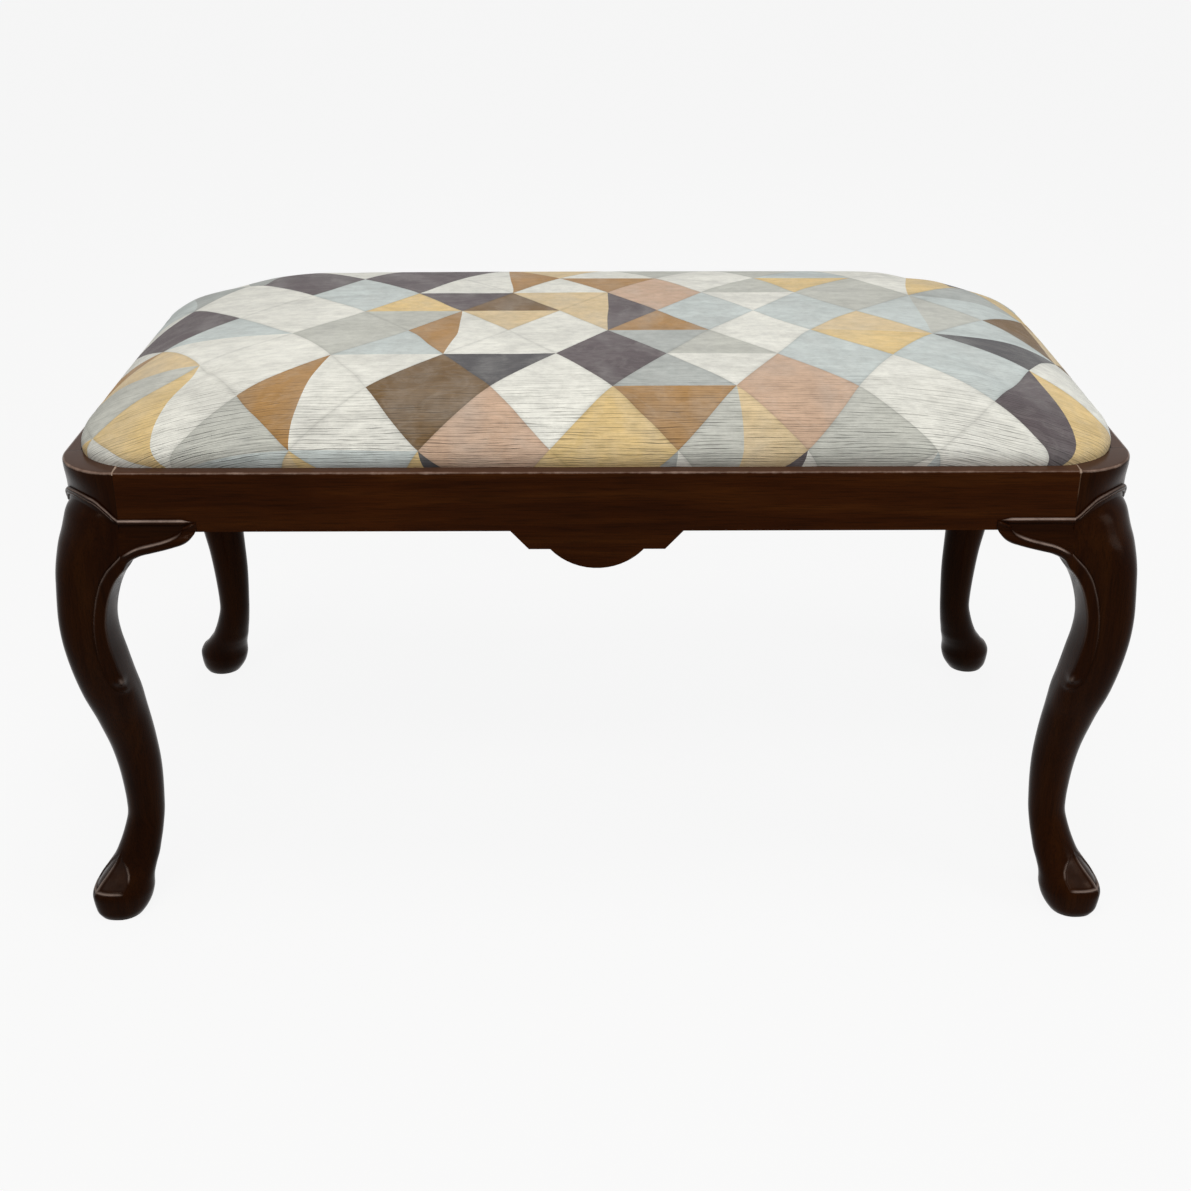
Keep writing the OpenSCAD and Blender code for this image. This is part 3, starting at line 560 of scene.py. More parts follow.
def half_ring(z, share):
    """One side of a leg's rings, from the toe's diagonal (0) round to the inner corner (1)."""
    centre, half = POST * fair(z, 1), POST * fair(z, 2)
    outer, side, inner = fair(z, 3), fair(z, 4), fair(z, 5)
    carved = plateau(z, *SCROLL_SPAN)

    # Columns follow the scroll's outer line and the arris
    reach = np.interp(z, *SCROLL.T)
    across = np.clip((half - reach) / half, 0.0, 0.8)
    level = (1 - across**side) ** (1 / side)
    line = 45 + np.degrees(np.arctan2(across, level))
    line = 65 + (line - 65) * ease(z, 0.205, 0.224)
    step = np.degrees(GROOVE / half)
    stops = (0, 18, 45, line - step, line, line + step, 90, 135, 180)
    turns = np.stack([z * 0 + turn for turn in stops])
    k = np.clip(np.searchsorted(STOPS, share, side="right") - 1, 0, len(STOPS) - 2)
    col = np.arange(len(z))
    part = (share - STOPS[k]) / (STOPS[k + 1] - STOPS[k])
    turn = turns[k, col] + part * (turns[k + 1, col] - turns[k, col])

    angle = np.radians(225 + turn)
    power = np.where(turn <= 45, outer, np.where(turn < 135, side, inner))
    c, s = np.abs(np.cos(angle)), np.abs(np.sin(angle))
    radius = half / (c**power + s**power) ** (1 / power)

    # Slipper foot: a crest down to the toe, and a sunk panel on either side of it
    edge = np.interp(z, *TOE_PANEL.T)
    panel = plateau(turn, 1, 7, edge - 7, edge) * plateau(z, 0.0280, 0.0305, 0.049, 0.056)
    ridge = crest(turn, 0, 3) * plateau(z, 0.022, 0.028, 0.046, 0.062)
    radius = radius - PANEL_DEPTH * panel + TOE_CREST * ridge
    x, y = radius * np.cos(angle), radius * np.sin(angle)

    # Scroll: a groove, then a raised band out to the arris, and a flat inner face
    band = (turn > line) & (turn <= 90)
    over = np.clip((turn - line) / step, 0, 1)
    out = np.clip((turn - line) / np.maximum(90 - line, 1), 0, 1)
    band_y = -(level * half - GROOVE + 0.0022 * over - 0.0012 * out)
    y = np.where(band, y + carved * (np.minimum(band_y, y + 0.0006) - y), y)
    groove = crest(turn, line, 0.9 * step) * (turn <= line)
    y = y + carved * (0.0005 * groove - 0.0005 * crest(turn, line + 1.1 * step, 0.8 * step))
    face = (turn > 90) & (turn <= 135)
    inward = (turn - 90) / 45
    face_y = -(level * half + 0.0001) * np.clip(1 - inward, 0, 1) ** 1.1
    face_x = half * (1 - 0.115 * (1 - inward) ** 2)
    x = np.where(face, x + carved * (face_x - x), x)
    y = np.where(face, y + carved * (face_y - y), y)

    # Spur where the scroll ends, and a lesser lobe below it
    for place, tall, high, wide in (
            (SPUR, 0.0042, 0.0022, 13), (SPUR - 0.0105, 0.0036, 0.0012, 12)):
        bump = high * crest(z, place, tall) * crest(turn, 86, wide)
        x, y = x + 0.6 * bump, y - 0.8 * bump
    return centre + x, centre + y


def leg_surface(u, v):
    z = np.interp(v, *zip(*LEG_LEVELS))
    side = 2 * u - 1
    x, y = half_ring(z, np.abs(side))
    return np.stack([np.where(side < 0, y, x), np.where(side < 0, x, y), z], 1)


# Where the leg's carving is painted pale: partly lacquer wear, partly painted highlight, with a
# faint painted sheen on the toe's panels
def leg_highlight_and_wear(u, v):
    z, share = np.interp(v, *zip(*LEG_LEVELS)), np.abs(2 * u - 1)
    scroll = plateau(z, 0.250, 0.335, *SCROLL_SPAN[2:])
    turn = np.interp(share, STOPS, (0, 18, 45, 64, 65, 66, 90, 135, 180))
    edge = np.interp(z, *TOE_PANEL.T)
    toe_line = crest(z, 0.0287, 0.00052) * plateau(turn, 0, 3, 40, 56)
    panel = plateau(turn, 3, 9, edge - 8, edge) * plateau(z, 0.0295, 0.0320, 0.046, 0.056)
    toe_crest = crest(turn, 0, 1.9) * plateau(z, 0.026, 0.030, 0.042, 0.054)
    side_ridge = crest(turn, edge + 0.5, 1.7) * plateau(z, 0.036, 0.041, 0.047, 0.052)
    spur = crest(z, SPUR, 0.0022) * crest(share, 0.63, 0.022)
    return (scroll * (0.40 * crest(share, 0.492, 0.012) + 0.22 * crest(share, 0.64, 0.010))
            + 0.5 * spur + 0.75 * toe_line + 0.75 * toe_crest + 0.70 * side_ridge + 0.05 * panel)


def carved_leg():
    bm = bent_grid(leg_surface, 200, 208, around=True, highlight_and_wear=leg_highlight_and_wear)
    close_ends(bm)
    for axis in (Vector((1, 0, 0)), Vector((0, 1, 0))):
        bmesh.ops.bisect_plane(bm, geom=bm.verts[:] + bm.edges[:] + bm.faces[:], dist=1e-6,
                               plane_co=axis * POST, plane_no=axis, clear_outer=True)
        bmesh.ops.holes_fill(bm, edges=bm.edges, sides=0)
    return bm


def corner_hollow(turn):
    """How far the post is hollowed, most on the diagonal."""
    return POST_HOLLOW * np.sin(2 * turn) ** 1.5


def round_post(radius, turn, z):
    return np.stack([POST - radius * np.sin(turn), POST - radius * np.cos(turn), z], 1)


def post_rim():
    """The quarter-round post's outer wall and ledge, swept round the corner."""
    outer = [(0.0, z) for z in np.linspace(RAIL_BOTTOM, RIM - 0.0025, 30)]
    arris = [(0.0025 * (1 - math.cos(a)), RIM - 0.0025 * (1 - math.sin(a)))
             for a in np.radians([18, 36, 54, 72, 90])]
    section = outer + arris
    inner = [(0.0, z) for z in (RIM, RIM - 0.0012, *np.linspace(SHELF, RAIL_BOTTOM, 6))]
    depth = np.array([p[0] for p in section] + [0.5] * len(inner))
    height = np.array([p[1] for p in section + inner])
    inner_side = np.array([0.0] * len(section) + [1.0] * len(inner))
    depth, height, inner_side = (np.append(a, a[0]) for a in (depth, height, inner_side))
    inset = np.zeros(len(height))
    inset[len(section)] = -0.0012

    def wall(u, v):
        row = np.rint(v * (len(height) - 1)).astype(int)
        turn = math.pi / 2 * u
        z = height[row]
        hollow = corner_hollow(turn) * (1 - ease(z, 0.398, 0.421))

        # Inside, out to the rounded corner of the seat opening
        aside = LEDGE + OPEN_RADIUS - POST
        both = aside * (np.sin(turn) + np.cos(turn))
        reach = -both + np.sqrt(both**2 + OPEN_RADIUS**2 - 2 * aside**2) + inset[row]
        radius = np.where(inner_side[row] > 0, reach, POST - hollow - depth[row])
        return round_post(radius, turn, z)

    bm = bent_grid(wall, 48, len(height) - 1)
    weld(bm)
    close_ends(bm)
    return bm


def post_core():
    """The post inside its rim, up to the rebate that the seat rests on."""
    bm = bmesh.new()
    bm.verts.layers.float.new("edge_wear_and_highlight")
    wall = [bm.verts.new((POST, POST - r, z)) for r, z in
            ((0, RAIL_BOTTOM), (0.040, RAIL_BOTTOM), (0.040, SHELF), (0, SHELF))]
    face = bm.faces.new(wall)
    bmesh.ops.spin(bm, geom=[face], cent=(POST, POST, 0), axis=(0, 0, -1), angle=math.pi / 2,
                   steps=20)
    weld(bm)
    face_out(bm)
    return bm


def bead_section(angle):
    """A bead's section: how far out and up at an angle, with a flatter facet on its upper front."""
    low, high = math.radians(8), math.radians(68)
    share = np.clip((angle - low) / (high - low), 0, 1)
    flat = 0.75 * ((angle > low) & (angle < high))
    out, up = np.cos(angle), np.sin(angle)
    return (out + flat * (math.cos(low) + (math.cos(high) - math.cos(low)) * share - out),
            up + flat * (math.sin(low) + (math.sin(high) - math.sin(low)) * share - up))


# The bead's height round the post, in degrees from the face to the diagonal
CLIMB = np.array([[-2, 0.3822], [0, 0.3834], [3, 0.3856], [8, 0.3902], [12, 0.3932], [19, 0.3976],
                  [30, 0.4001], [38, 0.4009], [45, 0.4011]])


def astragal(thick, drop, out):
    """A thin bead that climbs round the corner of the post, over the knee."""
    def roll(u, v):
        turn = math.pi / 2 * v
        from_face = np.degrees(np.minimum(turn, math.pi / 2 - turn))
        height = smooth_through(CLIMB[:, 0], CLIMB[:, 1], from_face) - drop * ease(from_face, -2, 6)
        radius = POST - corner_hollow(turn) + out
        away, up = bead_section(2 * math.pi * u)
        return round_post(radius + thick * away, turn, height + thick * up)

    # Painted highlight, with some wear, along the bead's upper facet
    bm = bent_grid(roll, 24, 96, highlight_and_wear=lambda u, v: 0.62 * crest(360 * u, 40, 21))
    weld(bm)
    close_ends(bm)
    return bm


def joined(*parts):
    """Several closed meshes as one."""
    whole = bmesh.new()
    for part in parts:
        mesh = bpy.data.meshes.new("part")
        part.to_mesh(mesh)
        part.free()
        whole.from_mesh(mesh)
        bpy.data.meshes.remove(mesh)
    return whole


for name, sx, sy in CORNERS:
    leg = joined(carved_leg(), post_rim(), post_core(), astragal(thick=0.0020, drop=0, out=0.0006),
                 astragal(thick=0.0015, drop=0.0030, out=0.0004))
    piece("carved_leg_" + name, at_corner(leg, sx, sy), "bench_frame", MAHOGANY["Z"], "mahogany",
          "leg_" + name, sharp=32)


# ---- knee brackets
# The bracket's lower edge: share of its length, and depth below the rail
LOWER_EDGE = np.array([
    [0.00, 0.0330], [0.06, 0.0277], [0.14, 0.0234], [0.24, 0.0203], [0.40, 0.0177],
    [0.58, 0.0149], [0.70, 0.0127], [0.785, 0.0110], [0.84, 0.0093], [0.89, 0.0070], [0.93, 0.0044],
    [0.965, 0.0016], [1.00, -0.0020]])
# How wide the scroll is above that edge; past the ear it turns up to the bead
LIP = np.array([
    [0.00, 0.0145], [0.06, 0.0112], [0.13, 0.0098], [0.24, 0.0093], [0.40, 0.0091], [0.58, 0.0090],
    [0.70, 0.0094], [0.77, 0.0104], [0.82, 0.0128], [0.86, 0.0170], [1.00, 0.0180]])
# The face at its root, without the scroll: depth below the rail, and how far in it lies
ROOT = np.array([
    [-0.010, -0.0004], [0.000, -0.0007], [0.004, -0.0013], [0.008, -0.0027], [0.014, -0.0052],
    [0.019, -0.0066], [0.023, -0.0071], [0.027, -0.0066], [0.0307, -0.0048], [0.033, -0.0020]])
ROOT_DEPTH = 0.033
BRACKET = 0.0625
BEAD_LEVEL, BEAD = RAIL_BOTTOM + 0.0088, 0.0026
FACE_ROWS, BEAD_ROWS, UNDER_ROWS = 44, 20, 6


def leg_cut():
    """Where the leg's skin meets the plane of its joint with the bracket."""
    levels = np.linspace(0.334, RAIL_BOTTOM, 60)
    share = np.linspace(0.1, 0.72, 160)
    cut = []
    for z in levels:
        x, y = half_ring(np.full(len(share), z), share)
        order = np.argsort(x)
        cut.append(np.interp(POST, x[order], y[order]))
    return levels, np.array(cut)


CUT_LEVELS, CUT = leg_cut()


def knee_bracket():
    """A glued knee bracket: carved face and scroll below, and a bead lapping up over the rail."""
    rows = FACE_ROWS + BEAD_ROWS + UNDER_ROWS + 4

    def block(u, v):
        share = 1 - (1 - u) ** 1.5
        x = POST + BRACKET * share
        depth = smooth_through(LOWER_EDGE[:, 0], LOWER_EDGE[:, 1], share)
        stand = np.interp(share, [0, 0.35, 0.7, 1], [1, 0.82, 0.62, 0.42])
        end = np.sqrt(np.clip(1 - (np.maximum(share - 0.93, 0) / 0.0705) ** 2, 0, 1))
        row = np.rint(v * rows).astype(int) % rows
        size = BEAD * np.clip(1 - ease(share, 0.80, 0.975), 0.02, 1)
        tall = depth + BEAD_LEVEL - size - RAIL_BOTTOM

        # Up the face: the lip and its raised roll, and the sunk panel under the bead
        lip = np.minimum(smooth_through(LIP[:, 0], LIP[:, 1], share), tall * 0.90)
        below, above = np.clip(lip / 0.009, 0.1, 1), np.clip((tall - lip) / 0.007, 0.05, 1)
        marks = [0 * x, lip * 0.2, lip - 0.0030 * below, lip - 0.0011 * below, lip + 0.0002 * above,
                 lip + 0.0010 * above, lip + 0.0060 * above, tall]
        at = [0, 8, 15, 21, 25, 29, 35, FACE_ROWS - 1]
        stands = [0.0010, 0.0023, 0.0023, 0.0033, 0.0022, -0.0011, -0.0002, 0.0]
        up = 0 * x
        for a, b, low_, high_ in zip(at[:-1], at[1:], marks[:-1], marks[1:]):
            inside = (row >= a) & (row <= b)
            up = np.where(inside, low_ + (high_ - low_) * (row - a) / (b - a), up)
        face_z = RAIL_BOTTOM - depth + up
        at_root = (RAIL_BOTTOM - face_z) / np.maximum(depth, 0.002) * ROOT_DEPTH
        root = np.interp(at_root, *ROOT.T)
        raised = np.interp(row, at, stands) * (1 - 0.25 * ease(share, 0.8, 1))
        plain = np.minimum(root * stand - raised, -0.0005)
        knee = np.interp(RAIL_BOTTOM - at_root, CUT_LEVELS, CUT)
        knee = np.minimum(np.where(face_z < RAIL_BOTTOM, knee, 0.0), 0.004)
        face_y = (knee + (plain - knee) * ease(share, 0, 0.10)) * end
        face = row < FACE_ROWS
        y, z = np.where(face, face_y, 0 * x), np.where(face, face_z, 0 * x)

        # Round the bead, and down the rail's face behind it
        bead = (row >= FACE_ROWS) & (row < FACE_ROWS + BEAD_ROWS)
        away, over = bead_section(math.pi * ((row - FACE_ROWS) / (BEAD_ROWS - 1) - 0.5))
        y = np.where(bead, -0.0006 * end - size * away, y)
        z = np.where(bead, BEAD_LEVEL + size * over, z)

        # Behind: the rail's face and lower edge, then the back and the underside
        back = row - FACE_ROWS - BEAD_ROWS
        thick = RAIL_DEPTH * (1 - 0.30 * ease(share, 0.45, 1.0))
        behind = [(0 * x, RAIL_BOTTOM + 0.004 + 0 * x), (0 * x, RAIL_BOTTOM + 0 * x),
                  (thick * 0.5, RAIL_BOTTOM + 0 * x), (thick, RAIL_BOTTOM + 0 * x)]
        for k, (by, bz) in enumerate(behind):
            y, z = np.where(back == k, by, y), np.where(back == k, bz, z)
        under = back - 4
        for k in range(UNDER_ROWS):
            pull = (k + 0.5) / UNDER_ROWS
            y = np.where(under == k, thick * (1 - pull) + 0.001 * pull, y)
            z = np.where(under == k, RAIL_BOTTOM - depth * (0.96 + 0.04 * pull), z)
        return np.stack([x, y, z], 1)

    # Painted highlight, with some wear, along the lip's roll and the bead's facet
    def highlight_and_wear(u, v):
        share, row = 1 - (1 - u) ** 1.5, np.rint(v * rows).astype(int) % rows
        return (0.80 * plateau(share, 0.02, 0.14, 0.58, 0.84) * crest(row, 23, 2.0)
                + 0.95 * (1 - ease(share, 0.80, 1)) * crest(row, FACE_ROWS + 14, 2.0))

    bm = bent_grid(block, 60, rows, around=True, highlight_and_wear=highlight_and_wear)
    close_ends(bm)
    return bm


for name, sx, sy, swap in (
        *((*corner, False) for corner in CORNERS),
        ("left_front", -1, -1, True), ("left_back", -1, 1, True),
        ("right_front", 1, -1, True), ("right_back", 1, 1, True)):
    piece("knee_bracket_" + name, at_corner(knee_bracket(), sx, sy, swap), "bench_frame",
          BRACKET_WOOD["Y" if swap else "X"], "mahogany", "bracket_" + name, sharp=40)


# ---- seat
# How high the cushion rises over the rim, how far its edge rolls in and bulges out over the ledge,
# and how much rounder its corners and fuller its ends grow towards the crown
CROWN, ROLL, OVERHANG = 0.0580, 0.046, 0.0025
CORNER, END_ROLL = 0.105, 0.3
GAP, PLAY = 0.0022, 0.0003
DOME, BACK_SINK, BACK_DRAW = 0.0014, 0.0004, 0.0072
CLOTH, UNDER_CLOTH = 0.0013, 0.0027
# The cover's line from the crown down to its turn-under: inset and height
COVER_LINE = np.array(
    [[ROLL * a, RIM + CROWN * b] for a, b in (
        (3.40, 1.000), (2.95, 0.988), (2.50, 0.970), (2.10, 0.948), (1.75, 0.920), (1.42, 0.886),
        (1.12, 0.845), (0.90, 0.803), (0.70, 0.750), (0.55, 0.700), (0.42, 0.640), (0.32, 0.582),
        (0.24, 0.520), (0.16, 0.452), (0.09, 0.380))]
    + [[-OVERHANG * 0.70, RIM + CROWN * 0.27], [-OVERHANG, RIM + CROWN * 0.13],
       [-OVERHANG * 0.75, RIM + CROWN * 0.045], [PLAY, RIM + 0.0006],
       [GAP, RIM - 0.0008], [GAP, RIM - 0.008], [GAP, SHELF + 0.0018]]
    + [[GAP + inward, SHELF + 0.0003] for inward in (0.0014, 0.012, 0.024)])
ALONG = np.concatenate([[0], np.cumsum(np.hypot(*np.diff(COVER_LINE, axis=0).T))])
AT_RIM = 18
CORE_X = OPEN_X - COVER_LINE[0, 0] - END_ROLL * (ROLL / 2 + COVER_LINE[0, 0])
CORE_Y = OPEN_Y - COVER_LINE[0, 0]
CORE_RADIUS = 0.0105


def cover_point(out):
    """Inset and height of the cover at a distance along the cloth from the crown's edge."""
    t = np.clip(out, 0, ALONG[-1])
    return [np.where(t < ALONG[AT_RIM], smooth_through(ALONG, part, t), np.interp(t, ALONG, part))
            for part in COVER_LINE.T]


def draped(flat_x, flat_y):
    """Where a point of the flat cloth lies once it is drawn down over the seat."""
    a, b = np.abs(flat_x), np.abs(flat_y)
    run_x, run_y = CORE_X - CORE_RADIUS, CORE_Y - CORE_RADIUS
    over_x, over_y = a - run_x, b - run_y
    cornered = (over_x > 0) & (over_y > 0)
    reach = np.where(cornered, np.hypot(over_x, over_y) - CORE_RADIUS,
                     np.maximum(a - CORE_X, b - CORE_Y))
    out = np.maximum(reach, 0)
    inset, height = cover_point(out)
    rise = np.maximum(height - RIM, 0) / CROWN
    radius = np.maximum(OPEN_RADIUS - inset + CORNER * rise**1.5, CORE_RADIUS)
    half_x = OPEN_X - inset - END_ROLL * rise * (ROLL / 2 + np.maximum(inset, 0))
    half_y = OPEN_Y - inset
    long_x, long_y = half_x - radius, half_y - radius
    bend = np.arctan2(np.maximum(over_y, 1e-9), np.maximum(over_x, 1e-9))
    flat_radius = CORE_RADIUS + out
    from_front = ~cornered & (b - CORE_Y > a - CORE_X) | cornered & (bend >= math.pi / 4)

    def round_ring(along_flat, flat_run, real_run):
        share = (real_run + math.pi / 4 * radius) / (flat_run + math.pi / 4 * flat_radius)
        place = along_flat * share
        angle = np.maximum(place - real_run, 0) / radius
        return (np.where(place < real_run, place, real_run + radius * np.sin(angle)),
                radius * (1 - np.cos(angle)))

    front_way = np.where(cornered, run_x + flat_radius * (math.pi / 2 - bend), a)
    fx, fy = round_ring(front_way, run_x, long_x)
    end_way = np.where(cornered, run_y + flat_radius * bend, b)
    ey, ex = round_ring(end_way, run_y, long_y)
    x = np.where(from_front, fx, half_x - ex)
    y = np.where(from_front, half_y - fy, ey)
    inside = reach <= 0
    x, y = np.where(inside, a, x), np.where(inside, b, y)

    # The filling lies a little slacker in the back corners, and highest right of the middle
    to_back = ease(np.copysign(y, flat_y), 0.04, 0.20)
    slack = ease(np.abs(x), 0.20, 0.38) * to_back * np.minimum(rise, 1)
    x = x - np.where(flat_x > 0, BACK_DRAW, 0.0) * slack
    fall_x = np.clip((np.copysign(x, flat_x) - 0.05) / 0.42, -1, 1)
    fall_y = np.clip(y / 0.23, -1, 1)
    dome = DOME * np.cos(fall_x * math.pi / 2) * np.cos(fall_y * math.pi / 2)
    height = height - BACK_SINK * slack + dome * (rise > 0)
    return np.stack([np.copysign(x, flat_x), np.copysign(y, flat_y), height], 1)


REACH = ALONG[-1]
CUT_X, CUT_Y = CORE_X + REACH, CORE_Y + REACH


def inside_cut(a, b, slack):
    over_x, over_y = abs(a) - (CORE_X - CORE_RADIUS), abs(b) - (CORE_Y - CORE_RADIUS)
    if over_x > 0 and over_y > 0:
        return math.hypot(over_x, over_y) < CORE_RADIUS + REACH + slack
    return True


def cover_sheet(pitch):
    """The cover, cut flat with round corners and drawn over the seat. Its UV is its flat place."""
    def lie(u, v):
        return np.stack([(2 * u - 1) * CUT_X, (2 * v - 1) * CUT_Y, 0 * u], 1)

    bm = bent_grid(lie, round(2 * CUT_X / pitch), round(2 * CUT_Y / pitch))
    waste = [p for p in bm.verts if not inside_cut(p.co.x, p.co.y, pitch * 0.5)]
    bmesh.ops.delete(bm, geom=waste, context="VERTS")
    flat = bm.loops.layers.uv.new("flat_cut")
    for face in bm.faces:
        for corner in face.loops:
            corner[flat].uv = (corner.vert.co.x + 0.5, corner.vert.co.y + 0.5)
    spots = np.array([p.co[:2] for p in bm.verts])
    for point, there in zip(bm.verts, draped(spots[:, 0], spots[:, 1])):
        point.co = there
    face_out(bm)
    return bm


def add_solidify(made, thickness, offset):
    wall = made.modifiers.new("cloth_thickness", "SOLIDIFY")
    wall.thickness = thickness
    wall.offset = offset


def swell(made, stiff, pressure, most_sideways, most_up):
    """Lets the filling push the cloth out, and keeps the shape that it takes."""
    mesh = made.data
    start = np.array([p.co for p in mesh.vertices])
    held = made.vertex_groups.new(name="turned_under")
    for index, share in enumerate(1 - ease(start[:, 2], RIM + 0.002, RIM + 0.014)):
        if share > 0:
            held.add([index], float(share), "REPLACE")
    cloth = made.modifiers.new("swelling", "CLOTH")
    rule = cloth.settings
    rule.quality, rule.mass = 6, 0.3
    rule.tension_stiffness = rule.compression_stiffness = stiff
    rule.shear_stiffness, rule.bending_stiffness = stiff / 2, 3.0
    rule.use_pressure, rule.uniform_pressure_force = True, pressure
    rule.effector_weights.gravity = 0
    rule.vertex_group_mass = "turned_under"
    cloth.collision_settings.use_collision = False
    for moment in range(1, 21):
        SCENE.frame_set(moment)
    seen = made.evaluated_get(bpy.context.evaluated_depsgraph_get()).data
    move = np.array([p.co for p in seen.vertices]) - start
    size = np.linalg.norm(move, axis=1)
    print("cover swelled by", round(float(size.mean()), 5), round(float(size.max()), 5))
    sideways = np.maximum(np.linalg.norm(move[:, :2], axis=1), 1e-9)
    move[:, :2] *= (most_sideways * np.tanh(sideways / most_sideways) / sideways)[:, None]
    move[:, 2] = most_up * np.tanh(move[:, 2] / most_up)
    made.modifiers.remove(cloth)
    made.vertex_groups.clear()
    SCENE.frame_set(1)
    for point, there in zip(mesh.vertices, start + move):
        point.co = there


cover = piece("printed_cover", cover_sheet(pitch=0.0085), "drop_in_seat", PRINT, "printed_cotton",
              "seat_cover", sharp=80)
swell(cover, stiff=22, pressure=4.0, most_sideways=0.0008, most_up=0.0035)


def foam_form():
    """The filling just inside the cover, closed below where it lies on the hessian."""
    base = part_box("foam_pad")[0].z
    bm = bmesh.new()
    bm.from_mesh(cover.data)
    bm.normal_update()
    for point in bm.verts:
        point.co -= point.normal * UNDER_CLOTH
    bmesh.ops.delete(bm, geom=[p for p in bm.verts if p.co.z < base + 0.001], context="VERTS")
    rim = [e for e in bm.edges if e.is_boundary]
    for point in bmesh.ops.extrude_edge_only(bm, edges=rim)["geom"]:
        if isinstance(point, bmesh.types.BMVert):
            point.co.z = base
    close_ends(bm)
    return bm


foam = piece("foam_filling", foam_form(), "drop_in_seat", FOAM, "foam", "foam_pad", sharp=60)
fuller = cover.modifiers.new("fuller_curve", "SUBSURF")
fuller.levels = fuller.render_levels = 1
add_solidify(cover, CLOTH, -1)


def flat_sheet(node, columns, rows, sag, corner, ripple):
    """A thin cloth laid where a CAD sheet lies, sagging a little between its fixings."""
    low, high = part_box(node)
    half_x, half_y = (high.x - low.x) / 2, (high.y - low.y) / 2

    def lie(u, v):
        x, y = 2 * u - 1, 2 * v - 1
        # Square to round corners: the grid's outer rows follow the rounded outline
        far = np.maximum(np.abs(x), np.abs(y))
        px, py = x * half_x, y * half_y
        over_x = np.maximum(np.abs(px) - (half_x - corner), 0)
        over_y = np.maximum(np.abs(py) - (half_y - corner), 0)
        longer = np.maximum(over_x, over_y)
        pull = np.where(longer > 0, longer / np.maximum(np.hypot(over_x, over_y), 1e-9), 1)
        px = np.copysign(np.abs(px) - over_x * (1 - pull), x)
        py = np.copysign(np.abs(py) - over_y * (1 - pull), y)
        dip = sag * (1 - x**2) * (1 - y**2) * (far < 1)
        dip = dip - ripple * np.sin(px * 140) * np.sin(py * 140) * (1 - far**6)
        return np.stack([px, py, (low.z + high.z) / 2 - dip], 1)

    bm = bent_grid(lie, columns, rows)
    face_out(bm)
    return bm, half_x, half_y, high.z - low.z


for name, node, material, slot, sag, corner, ripple in (
        ("hessian_sheet", "hessian", HESSIAN, "hessian_cloth", 0.0, 0.045, 0.0),
        ("cambric_dust_cover", "dust_cover", CAMBRIC, "black_cambric", 0.0035, 0.115, 0.0004)):
    bm, half_x, half_y, thick = flat_sheet(node, 96, 56, sag, corner, ripple)
    cloth = piece(name, bm, "drop_in_seat", material, slot, node, sharp=60)
    add_solidify(cloth, thick * 0.9, 0)


WEB_WIDTH = 0.050


def webbing(node, lengthwise, count, across):
    """Strips of webbing, each passing over and under those that cross it."""
    low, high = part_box(node)
    parts = []
    first = (low.y if lengthwise else low.x) + WEB_WIDTH / 2
    last = (high.y if lengthwise else high.x) - WEB_WIDTH / 2
    for i in range(count):
        middle = first + (last - first) * i / max(count - 1, 1)

        def strip(u, v):
            run = (low.x + (high.x - low.x) * u) if lengthwise else (low.y + (high.y - low.y) * u)
            side = middle + WEB_WIDTH * (v - 0.5)
            ends = 1 - (2 * u - 1) ** 8
            wave = 0.0004 * np.cos(math.pi * (u * (across + 1) + i)) * ends
            level = (low.z + high.z) / 2 + wave
            return np.stack([run, side, level] if lengthwise else [side, run, level], 1)

        parts.append(bent_grid(strip, 120, 4))
    bm = joined(*parts)
    face_out(bm)
    return bm


for name, node, lengthwise, count, across in (
        ("webbing_strips_long", "webbing_long", True, 3, 6),
        ("webbing_strips_cross", "webbing_cross", False, 6, 3)):
    strips = piece(name, webbing(node, lengthwise, count, across), "drop_in_seat", JUTE,
                   "jute_webbing", node, sharp=60)
    add_solidify(strips, 0.0011, 0)


# ---- studio
# How much of the floor is plain white where it is only seen, and the strengths of the backdrop
WHITE_SHARE = 0.90
LIT, SEEN = 0.27, 1.0


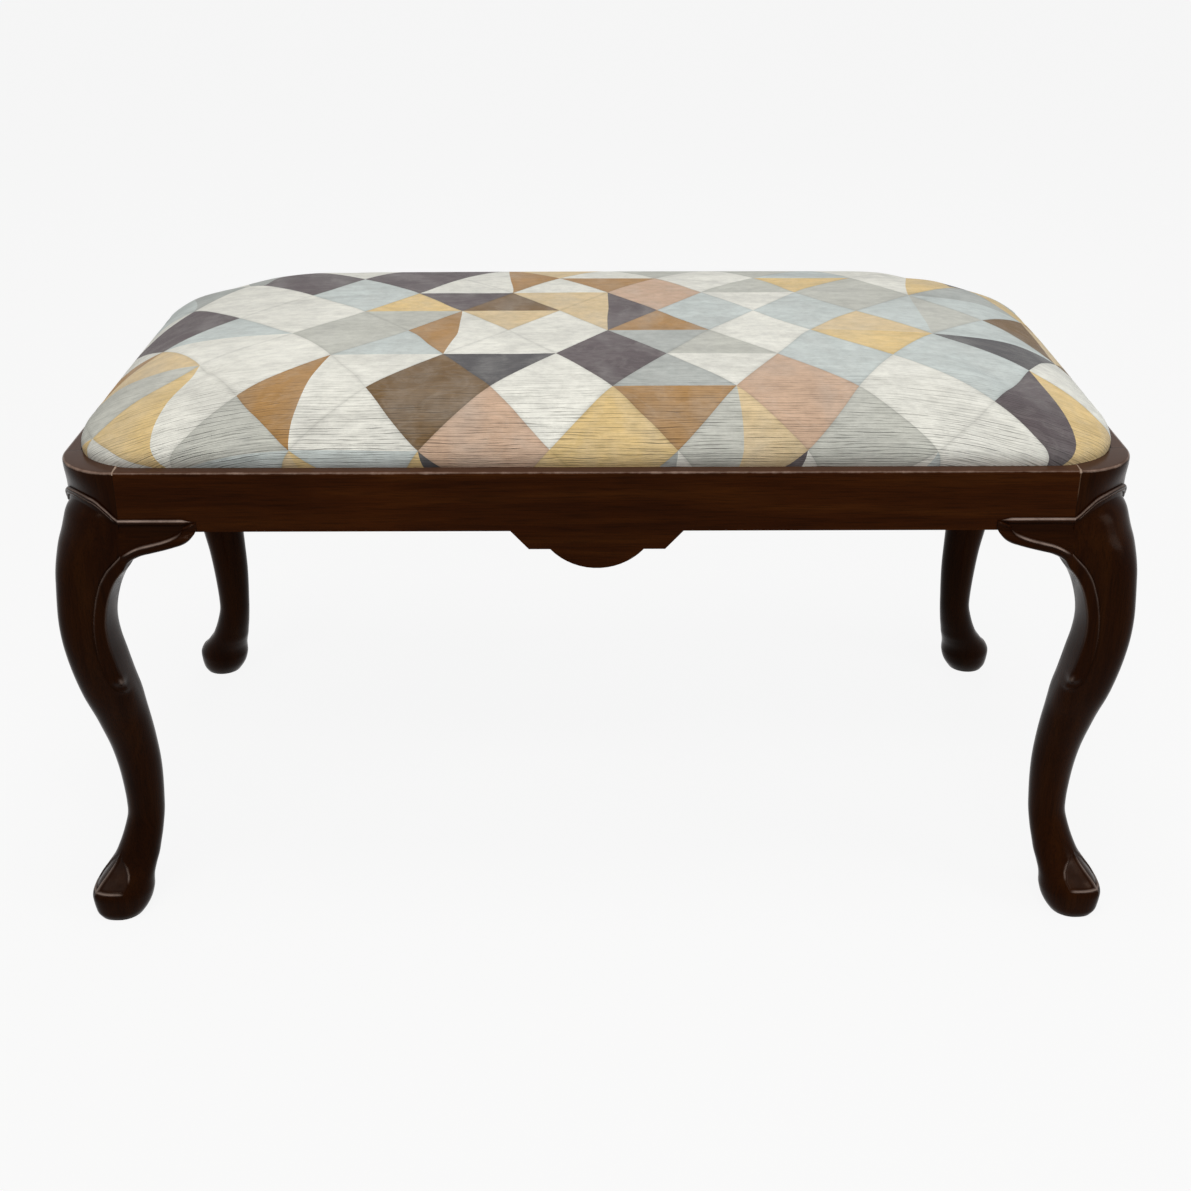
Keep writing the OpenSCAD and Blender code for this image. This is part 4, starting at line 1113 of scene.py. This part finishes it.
def studio():
    """Pale floor, white beyond it, and soft lamps."""
    bm = bmesh.new()
    bmesh.ops.create_grid(bm, x_segments=1, y_segments=1, size=14)
    mesh = bpy.data.meshes.new("pale_floor")
    bm.to_mesh(mesh)
    bm.free()
    floor = bpy.data.objects.new("pale_floor", mesh)
    SCENE.collection.objects.link(floor)
    f = Finish("pale_floor")
    f.surface(Base_Color=(0.60, 0.595, 0.59, 1), Roughness=0.9, Specular_IOR_Level=0.1)
    share = f.times(f.shown(), WHITE_SHARE)
    white = f.node("Emission").outputs[0]
    mix = f.node("MixShader", {0: share, 1: f.shader.outputs[0], 2: white})
    f.give(f.tree.nodes["Material Output"].inputs["Surface"], mix.outputs[0])
    mesh.materials.append(f.material)

    world = bpy.data.worlds.new("studio")
    SCENE.world = world
    world.use_nodes = True
    sky = Shading(world.node_tree)
    backdrop = sky.tree.nodes["Background"].inputs
    sky.give(backdrop["Color"], (0.95, 0.957, 0.965, 1))
    sky.give(backdrop["Strength"], sky.scaled(sky.shown(), SEEN - LIT, LIT))

    for name, place, aim, wide, tall, power, tint in (
            ("ceiling_softbox", (0.0, -0.45, 2.35), (0.0, 0.0, 0.45), 0.75, 0.75, 15.5,
             (1.0, 0.985, 0.96)),
            ("front_strip", (-0.35, -1.75, 2.15), (-0.05, 0.0, 0.40), 2.4, 0.28, 24,
             (1.0, 0.97, 0.93)),
            ("side_softbox", (1.9, -1.15, 1.05), (0.1, 0.0, 0.35), 0.75, 0.75, 9,
             (0.90, 0.95, 1.0)),
            ("back_softbox", (0.3, 2.2, 2.0), (0.0, 0.0, 0.45), 1.4, 1.4, 9, (1.0, 1.0, 1.0))):
        data = bpy.data.lights.new(name, "AREA")
        data.shape, data.size, data.size_y = "RECTANGLE", wide, tall
        data.energy, data.color = power, tint
        lamp = bpy.data.objects.new(name, data)
        SCENE.collection.objects.link(lamp)
        turn = (Vector(aim) - Vector(place)).to_track_quat("-Z", "Y").to_matrix().to_4x4()
        lamp.matrix_world = Matrix.Translation(place) @ turn
    SCENE.view_settings.view_transform = "Standard"


studio()
